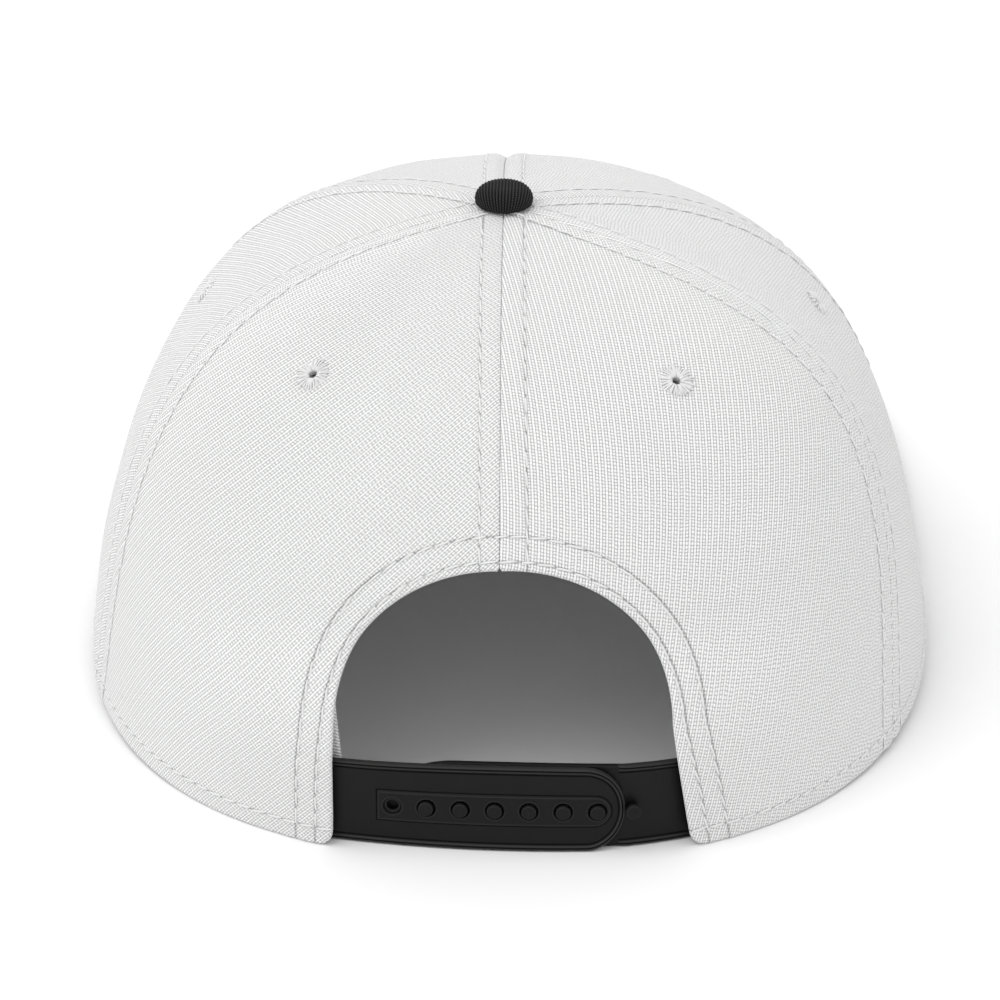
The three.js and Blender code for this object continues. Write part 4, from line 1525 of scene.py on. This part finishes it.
def cover_button():
    radius, height = dome_profile()
    radius[-1] = 0.0
    turn = np.arange(BUTTON_SIDES) / BUTTON_SIDES * 2 * np.pi
    steps = np.hypot(np.diff(radius), np.diff(height))
    spread = np.concatenate([np.cumsum(steps[::-1])[::-1], [0.0]])[:, None]
    across, along = spread * np.cos(turn), spread * np.sin(turn)
    cord = CORD_RELIEF * np.cos(2 * np.pi * across / CORD_PITCH)
    x, y = (radius[:, None] + cord) * np.cos(turn), (radius[:, None] + cord) * np.sin(turn)
    z = height[:, None] + cord * (height[:, None] > BUTTON_SIDE)
    x[-1], y[-1], z[-1] = 0, 0, BUTTON_HEIGHT
    points = np.stack([x + TOP_SHIFT, y, z + CROWN_HEIGHT + GAP], -1).reshape(-1, 3)
    grain = np.stack([across, along, 0 * x], -1).reshape(-1, 3)
    at = np.arange(len(points)).reshape(len(radius), BUTTON_SIDES)
    after = np.roll(at, -1, axis=1)
    quads = np.stack([at[:-2], after[:-2], after[1:-1], at[1:-1]], -1).reshape(-1, 4)
    top = at[-1][0]
    fan = [[low, next_low, top] for low, next_low in zip(at[-2], after[-2])]
    faces = quads.tolist() + fan + [at[0][::-1].tolist()]
    points, grain = points[: top + 1], grain[: top + 1]
    cover = new_piece("button_cover", points, faces, [black_cord], grain=grain)
    settle(cover, "black_twill", "button")


cover_button()
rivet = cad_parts["button_rivet"]
rivet.data.materials.clear()
rivet.data.materials.append(dark_metal)

# %% [markdown]
# ## Visor
#
# The photograph hides the visor, so it is finished plainly: a stiff board in black twill with
# eight even rows of stitches that follow its outer edge. Its cloth is one sheet rolled round
# the edge.

# %% Covered board
VISOR_COLUMNS = 150
VISOR_ROWS = 54
VISOR_STITCH_ROWS = 8
VISOR_FIRST_ROW = 3.4
VISOR_ROW_STEP = 6.6
VISOR_ROW_PRESS = 0.14
VISOR_ROW_WIDTH = 0.7
VISOR_LAST_ANGLE = 89.9
VISOR_CLEAR = 0.8  # a row ends this far before the crown
BLACK_PITCH = 3.2
BLACK_RADIUS = 0.22
BLACK_RISE = 0.3


def visor_net():
    """Spots in plan, and each spot's distance from the outer edge."""
    angle = np.linspace(-VISOR_LAST_ANGLE, VISOR_LAST_ANGLE, VISOR_COLUMNS + 1)[:, None]
    root, edge = visor_root(angle), visor_edge(angle)
    reach = np.linalg.norm(edge - root, axis=-1, keepdims=True)
    last = 1 - VISOR_EDGE_ROUND / reach
    share = last * np.linspace(0, 1, VISOR_ROWS + 1)[None, :, None]
    return lerp(root, edge, share), (reach * (1 - share))[..., 0]


def visor_press(from_edge):
    rows = VISOR_FIRST_ROW + VISOR_ROW_STEP * np.arange(VISOR_STITCH_ROWS)
    return sum(bell(from_edge - row, VISOR_ROW_WIDTH) for row in rows) * VISOR_ROW_PRESS


def cover_visor():
    spots, from_edge = visor_net()
    middle = visor_middle(spots)
    half = VISOR_THICKNESS / 2 - visor_press(from_edge)
    top = np.concatenate([spots, (middle + half)[..., None]], -1)
    bottom = np.concatenate([spots, (middle - half)[..., None]], -1)
    triangles = net_triangles(*from_edge.shape)[:, ::-1]
    grain = spots.reshape(-1, 2)
    made = rolled_sheet(
        top.reshape(-1, 3), bottom.reshape(-1, 3), triangles, grain, VISOR_EDGE_ROUND, 8
    )
    points, faces, grain = made[:3]
    away = np.full((len(points), 3), FAR)
    fields = {"grain": grain, "needle_seam": away, "needle_arch": away}
    cover = new_piece("visor_cover", points, faces, [black_twill], **fields)
    settle(cover, "black_twill", "visor")


def visor_row(distance):
    """A row on the top of the board at a distance from its edge, clear of the crown."""
    angle = np.linspace(-89.0, 89.0, 3 * ROW_POINTS)
    root, edge = visor_root(angle), visor_edge(angle)
    reach = np.linalg.norm(edge - root, axis=-1)
    share = 1 - distance / reach
    clear = share * reach > VISOR_TUCK + VISOR_CLEAR
    spots = lerp(root, edge, share[:, None])[clear]
    top = visor_middle(spots) + VISOR_THICKNESS / 2 - VISOR_ROW_PRESS
    line = np.concatenate([spots, top[:, None]], -1)
    return line, np.tile([0.0, 0.0, 1.0], (len(line), 1))


cover_visor()
black_stitch = one_stitch(
    "black_stitch", black_thread, BLACK_PITCH, BLACK_RADIUS, BLACK_RISE, rings=5, sides=5
)
visor_rows = [visor_row(VISOR_FIRST_ROW + VISOR_ROW_STEP * row) for row in range(VISOR_STITCH_ROWS)]
sew("visor_stitching", visor_rows, "black_twill", black_stitch, black_thread, BLACK_PITCH, seed=9)

# %% [markdown]
# ## Sweatband
#
# A soft ribbed tape lines the inside of the rim and laps over the ends of the strap. Its left
# end peeps out beside the arch, so its finish gives it ribs along its length, and it has a folded
# end.

# %% Sweatband sheet
BAND_HEIGHT = 30.0
BAND_WALL = 1.2
BAND_RIM_SETBACK = 1.0
BAND_LEFT_TUCK = 0.1
BAND_LEFT_SLANT = 1.7
BAND_SLANT_FROM = 18.0
BAND_SLANT_SPAN = 11.0
BAND_ROLL = 0.4
BAND_RIGHT_SETBACK = 1.0
BAND_STEP = 9.0
BAND_FOLLOW = 0.7
BAND_COLUMNS = 320
BAND_ROWS = 28
TUCK_DEPTH = CLOTH_WALL + 0.5
STRAP_TUCK = 12.0
STRAP_THICKNESS = 1.2


def band_end(side, lift, turns):
    """Azimuth of one end of the band at each height."""
    return np.array([float(back_azimuth(x, z)) for x, z in zip(side, lift)]) + turns


def cut_band():
    lift = lerp(BAND_RIM_SETBACK, BAND_HEIGHT, np.linspace(0, 1, BAND_ROWS + 1))
    slant = BAND_LEFT_SLANT * np.clip((lift - BAND_SLANT_FROM) / BAND_SLANT_SPAN, 0, 1)
    left = band_end(ARCH_LEFT_FOOT - BAND_LEFT_TUCK - slant, lift, -360)
    right = band_end(np.full_like(lift, ARCH_RIGHT_FOOT + BAND_RIGHT_SETBACK), lift, 0)
    share = np.linspace(0, 1, BAND_COLUMNS + 1)[:, None]
    azimuth = lerp(left, right, share)
    height = np.maximum(rim_height(azimuth) + BAND_RIM_SETBACK, lift)
    climb = climb_at_height(azimuth, height)
    rim_arc = np.radians(np.minimum(azimuth - left, right - azimuth)) * plan_radius(azimuth)
    over_strap = smooth((STRAP_TUCK + BAND_STEP - rim_arc) / BAND_STEP)
    depth = TUCK_DEPTH + over_strap * (STRAP_THICKNESS + GAP)
    normal = crown_normal(azimuth, climb)
    outer = crown_point(azimuth, climb) - depth[..., None] * normal
    outer = push_legs(outer, azimuth, climb, BAND_FOLLOW)
    inner = outer - BAND_WALL * normal
    grain = laid_flat(outer)
    triangles = net_triangles(*azimuth.shape)[:, ::-1]
    faces_of_band = outer.reshape(-1, 3), inner.reshape(-1, 3)
    made = rolled_sheet(*faces_of_band, triangles, grain.reshape(-1, 2), BAND_ROLL)
    points, faces, grain = made[:3]
    band = new_piece("sweatband_tape", points, faces, [white_rib], grain=grain)
    settle(band, "white_rib", "sweatband")


cut_band()

# %% [markdown]
# ## Snap strap
#
# Two halves of moulded plastic overlap. The outer one has a double rib just inside its border
# and a raised channel with seven holes. The inner one has seven pegs: six press through, and the
# last stands free beyond the outer half's round tip. One rule gives the outer face of each half,
# and a height over it gives ribs and channel.

# %% Sizes of the strap
STRAP_HEIGHT = 17.8
ROW_DROP = 0.25
STRAP_LIFT = 0.2
PEG_PITCH = 6.66
PEG_COUNT = 7
PEG_RADIUS = 1.48
PEG_PROUD = 0.7
HOLE_RADIUS = 1.74
HOLE_THROAT = 1.1
HOLE_ROW_CENTRE = -0.55
TIP_BEYOND_HOLE = 5.4
CHANNEL_HALF_HEIGHT = 3.25
CHANNEL_RAISE = 0.28
CHANNEL_LEFT_MARGIN = 3.0
CHANNEL_RIGHT_MARGIN = 2.7

STRAP_MIDDLE = STRAP_LIFT + STRAP_HEIGHT / 2
ROW_HEIGHT = STRAP_MIDDLE - ROW_DROP
HOLES = HOLE_ROW_CENTRE + (np.arange(PEG_COUNT) - (PEG_COUNT - 1) / 2) * PEG_PITCH
PEGS = HOLES + PEG_PITCH
OUTER_TIP = HOLES[-1] + TIP_BEYOND_HOLE
OUTER_TIP_LENGTH = 7.6  # a little blunter than a half circle
TONGUE_LENGTH = 14.3  # the inner half narrows over this length, behind the open hole
TONGUE_BEYOND_PEG = 8.6
INNER_TIP = PEGS[0] - TONGUE_BEYOND_PEG
OUTER_END = ARCH_LEFT_FOOT - STRAP_TUCK
INNER_END = ARCH_RIGHT_FOOT + STRAP_TUCK

# %% The curve that the strap follows
# The free strap hangs in a shallow curve, a little flatter than the rim, and leans back in its
# middle. Past the legs of the arch it keeps behind the cloth.
CURVE_MIDDLE = 6.0
CURVE_BACK = -88.2
CURVE_BEND = 0.00256
LEAN_MIDDLE = 3.0
LEAN_SPAN = 36.0
LEAN_BACK = 1.35
BEHIND_CLOTH = 2.9
INNER_TUCK = 0.9
UNDER = STRAP_THICKNESS + GAP


def strap_back(side, height, inner):
    """Where the outer face of a strap half stands, counted to the front."""
    free = CURVE_BACK + CURVE_BEND * (side - CURVE_MIDDLE) ** 2 + inner * UNDER
    rim = (1 - (np.abs(side) / HALF_WIDTH) ** SQUARENESS) ** (1 / SQUARENESS)
    tucked = BEHIND_CLOTH + inner * INNER_TUCK - BACK_DEPTH * rim
    lean = LEAN_BACK * np.maximum(1 - ((side - LEAN_MIDDLE) / LEAN_SPAN) ** 2, 0) ** 2
    return np.maximum(free, tucked) + lean * height / STRAP_HEIGHT


def on_strap(side, height, depth, inner):
    """A place on a strap half, that deep behind its outer face; inner is 0 or 1."""
    step = 0.5
    ahead, behind = (strap_back(side + move, height, inner) for move in (step, -step))
    slope = (ahead - behind) / (2 * step)
    outward = normalised(np.stack([slope, -np.ones_like(slope), 0 * slope], -1))
    point = np.stack([side, strap_back(side, height, inner), height], -1)
    return point - np.asarray(depth)[..., None] * outward


# %% Height of the border bead and the channel
BEAD_WIDTH = 1.15
BEAD_HEIGHT = 0.24
CHANNEL_EDGE = 0.3
CHANNEL_LIP = 0.08
HOLE_LIP = 0.12
HOLE_LIP_OUT = 0.25  # from the rim of the hole to the middle of its lip
LIP_WIDTH = 0.2
STRAP_NET = 0.21
STRAP_ROLL = 0.18


def inside_plate(side, height, square_end, tip, half_height, round_length=None):
    """Distance in from the border of a plate with one square and one round end."""
    toward = np.sign(tip - square_end)
    length = round_length or half_height
    from_centre = (side - (tip - toward * length)) * toward * half_height / length
    round_end = half_height - np.hypot(np.maximum(from_centre, 0), height - STRAP_MIDDLE)
    square = (side - square_end) * toward
    return np.minimum(round_end, square)


def border_bead(border):
    ridges = bell(border - 0.25, 0.22) + bell(border - 0.85, 0.2)
    step = 1 - smooth((border - BEAD_WIDTH + 0.15) / 0.3)
    return BEAD_HEIGHT * (0.55 * step + 0.45 * ridges)


def inside_channel(side, height):
    left, right = HOLES[0] - CHANNEL_LEFT_MARGIN, HOLES[-1] + CHANNEL_RIGHT_MARGIN
    return inside_plate(side, height + ROW_DROP, left, right, CHANNEL_HALF_HEIGHT)


def hole_distance(side, height):
    """Distance from the rim of the nearest hole."""
    return np.min([np.hypot(side - x, height - ROW_HEIGHT) for x in HOLES], 0) - HOLE_RADIUS


def channel_relief(side, height):
    inside = inside_channel(side, height)
    raised = CHANNEL_RAISE * smooth(inside / CHANNEL_EDGE + 0.5)
    lip = CHANNEL_LIP * bell(inside - 0.35, LIP_WIDTH)
    return raised + lip + HOLE_LIP * bell(hole_distance(side, height) - HOLE_LIP_OUT, LIP_WIDTH)


# %% Two moulded halves
RIB_UNDER_TIP = 1.5
RIB_FADE = 2.0


def mould_plate(square_end, tip, inner, holes, round_length=None):
    """Points, faces and mouldings of a strap half, trimmed to its outline and its holes."""
    low, high = min(square_end, tip), max(square_end, tip)
    columns = int((high - low) / STRAP_NET)
    rows = int(STRAP_HEIGHT / STRAP_NET)
    side, height = np.meshgrid(
        np.linspace(low, high, columns + 1),
        STRAP_LIFT + np.linspace(0, STRAP_HEIGHT, rows + 1),
        indexing="ij",
    )
    spots = np.stack([side, height], -1).reshape(-1, 2)
    triangles = net_triangles(columns + 1, rows + 1)

    def border_of(spots):
        half = STRAP_HEIGHT / 2
        return inside_plate(spots[:, 0], spots[:, 1], square_end, tip, half, round_length)

    keep = border_of(spots) - STRAP_ROLL
    for hole in holes:
        ring = np.hypot(spots[:, 0] - hole, spots[:, 1] - ROW_HEIGHT)
        keep = np.minimum(keep, ring - HOLE_RADIUS - 0.1)
    spots, triangles = trim(spots, triangles, keep)
    side, height = spots.T
    border = border_of(spots)
    if inner:  # its rib starts a little under the outer half's tip
        rib_start = OUTER_TIP - RIB_UNDER_TIP
        raised = border_bead(border) * smooth((side - rib_start) / RIB_FADE)
        border = np.where(side > rib_start, border, FAR)
        mouldings = [border, np.full_like(side, -FAR), np.full_like(side, FAR)]
    else:
        raised = border_bead(border) + channel_relief(side, height)
        lip_distance = hole_distance(side, height) - HOLE_LIP_OUT
        mouldings = [border, inside_channel(side, height), lip_distance]
    outer_face = on_strap(side, height, -raised, inner)
    inner_face = on_strap(side, height, np.full_like(side, STRAP_THICKNESS), inner)
    made = rolled_sheet(outer_face, inner_face, triangles, spots, STRAP_ROLL, 5)
    points, faces, _, _, source = made
    return points, faces, np.stack(mouldings, -1)[source]


def turned_on_strap(profile, side, inner, sides=36):
    """A ring or stud turned about the strap's outward direction, with its own mouldings."""
    points, faces = turned_mesh(profile, sides)
    place = np.array([side]), np.array([ROW_HEIGHT])
    spot = on_strap(*place, np.array([0.0]), inner)[0]
    outward = on_strap(*place, np.array([-1.0]), inner)[0] - spot
    along = normalised(np.cross([0.0, 0.0, 1.0], outward))
    up = np.cross(outward, along)
    rim = np.hypot(points[:, 0], points[:, 1]) - PEG_RADIUS
    mouldings = np.stack([0 * rim + FAR, 0 * rim - FAR, rim + 0.12], -1)
    return spot + points @ np.stack([along, up, outward]), faces, mouldings


def mould(name, node, *parts):
    """One strap half from its plate and the rings or pegs that stand in it."""
    starts = np.cumsum([0] + [len(points) for points, _, _ in parts])
    faces = [
        [start + corner for corner in face]
        for start, (_, part_faces, _) in zip(starts, parts)
        for face in part_faces
    ]
    points = np.concatenate([points for points, _, _ in parts])
    mouldings = np.concatenate([moulding for _, _, moulding in parts])
    piece = new_piece(name, points, faces, [black_plastic], moulding=mouldings)
    settle(piece, "black_plastic", node)


# %% Outer half, with a stepped throat in the open hole
# The throat narrows the open hole with black plastic, so that little of the lit floor behind shows:
# it stands in for the shade inside the hole.
THROAT_INSIDE = 0.12  # how far the ring reaches into the plate round it
THROAT_FOOT = -STRAP_THICKNESS + 0.03
THROAT = [
    (HOLE_THROAT, THROAT_FOOT),
    (HOLE_RADIUS + THROAT_INSIDE, THROAT_FOOT),
    (HOLE_RADIUS + THROAT_INSIDE, 0.0),
    (HOLE_THROAT + 0.25, 0.0),
    (HOLE_THROAT, -0.15),
]
outer_plate = mould_plate(OUTER_END, OUTER_TIP, 0, HOLES, OUTER_TIP_LENGTH)
mould("strap_outer", "strap_holes", outer_plate, turned_on_strap(THROAT, HOLES[0], 0))

# %% Inner half, with its pegs
PEG_TOP = STRAP_THICKNESS + GAP + CHANNEL_RAISE + PEG_PROUD
peg_turn = np.linspace(0, np.pi / 2, 6)
PEG_PROFILE = [
    (0.0, -0.5),
    (PEG_RADIUS - 0.3, -0.5),
    (PEG_RADIUS - 0.3, PEG_TOP - 1.3),
    (PEG_RADIUS, PEG_TOP - 1.0),
    *[
        (PEG_RADIUS - 0.25 * (1 - math.cos(turn)), PEG_TOP - 0.25 * (1 - math.sin(turn)))
        for turn in peg_turn
    ],
    (PEG_RADIUS - 0.6, PEG_TOP + 0.03),
    (0.0, PEG_TOP + 0.06),
]
inner_plate = mould_plate(INNER_END, INNER_TIP, 1, [], TONGUE_LENGTH)
mould(
    "strap_inner", "strap_pegs", inner_plate, *[turned_on_strap(PEG_PROFILE, x, 1) for x in PEGS]
)

# %% [markdown]
# ## Floor and light
#
# A white sweep under a wide soft sky gives the even, nearly shadowless look of the picture. One
# large panel at the upper left keeps a little form in the cloth and leaves the shadow on the
# right.

# %% Floor
FLOOR_HALF = 3.0
floor_mesh = bpy.data.meshes.new("floor")
corners = [(-1, -1), (1, -1), (1, 1), (-1, 1)]
floor_mesh.from_pydata([(x * FLOOR_HALF, y * FLOOR_HALF, 0) for x, y in corners], [], [(0, 1, 2, 3)])
floor = bpy.data.objects.new("floor", floor_mesh)
bpy.context.scene.collection.objects.link(floor)
floor_paper, floor_tree, floor_shader = new_finish("floor_paper", 0.9, specular=0.1)
floor_place = add_node(floor_tree, "ShaderNodeTexCoord").outputs["Object"]
mottle = noise(floor_tree, floor_place, 30.0)
floor_colour = mix_colour(floor_tree, mottle, grey(0.88), grey(0.9))
floor_tree.links.new(floor_colour, floor_shader.inputs["Base Color"])
floor_mesh.materials.append(floor_paper)


# %% Light
def soft_panel(name, place, aim, size, power):
    """A square lamp that the camera itself doesn't see."""
    data = bpy.data.lights.new(name, "AREA")
    data.shape = "SQUARE"
    data.size = size
    data.energy = power
    lamp = bpy.data.objects.new(name, data)
    bpy.context.scene.collection.objects.link(lamp)
    lamp.location = place
    lamp.rotation_mode = "QUATERNION"
    lamp.rotation_quaternion = (Vector(aim) - Vector(place)).to_track_quat("-Z", "Y")
    lamp.visible_camera = False


world = bpy.data.worlds.new("studio")
world.use_nodes = True
bpy.context.scene.world = world
world.node_tree.nodes["Background"].inputs[0].default_value = (1, 1, 1, 1)
world.node_tree.nodes["Background"].inputs[1].default_value = 1.05
soft_panel("key", (-0.8, -0.5, 1.7), (0, -0.05, 0.03), 1.5, 12.0)
# Thin white cloth lets some daylight through. This faint lamp inside the crown stands for it.
crown_middle = to_frame([0, 0, 62])
soft_panel("through_cloth", crown_middle, crown_middle * (1, 1, 0), 0.08, 0.0018)
bpy.context.scene.view_settings.view_transform = "Standard"
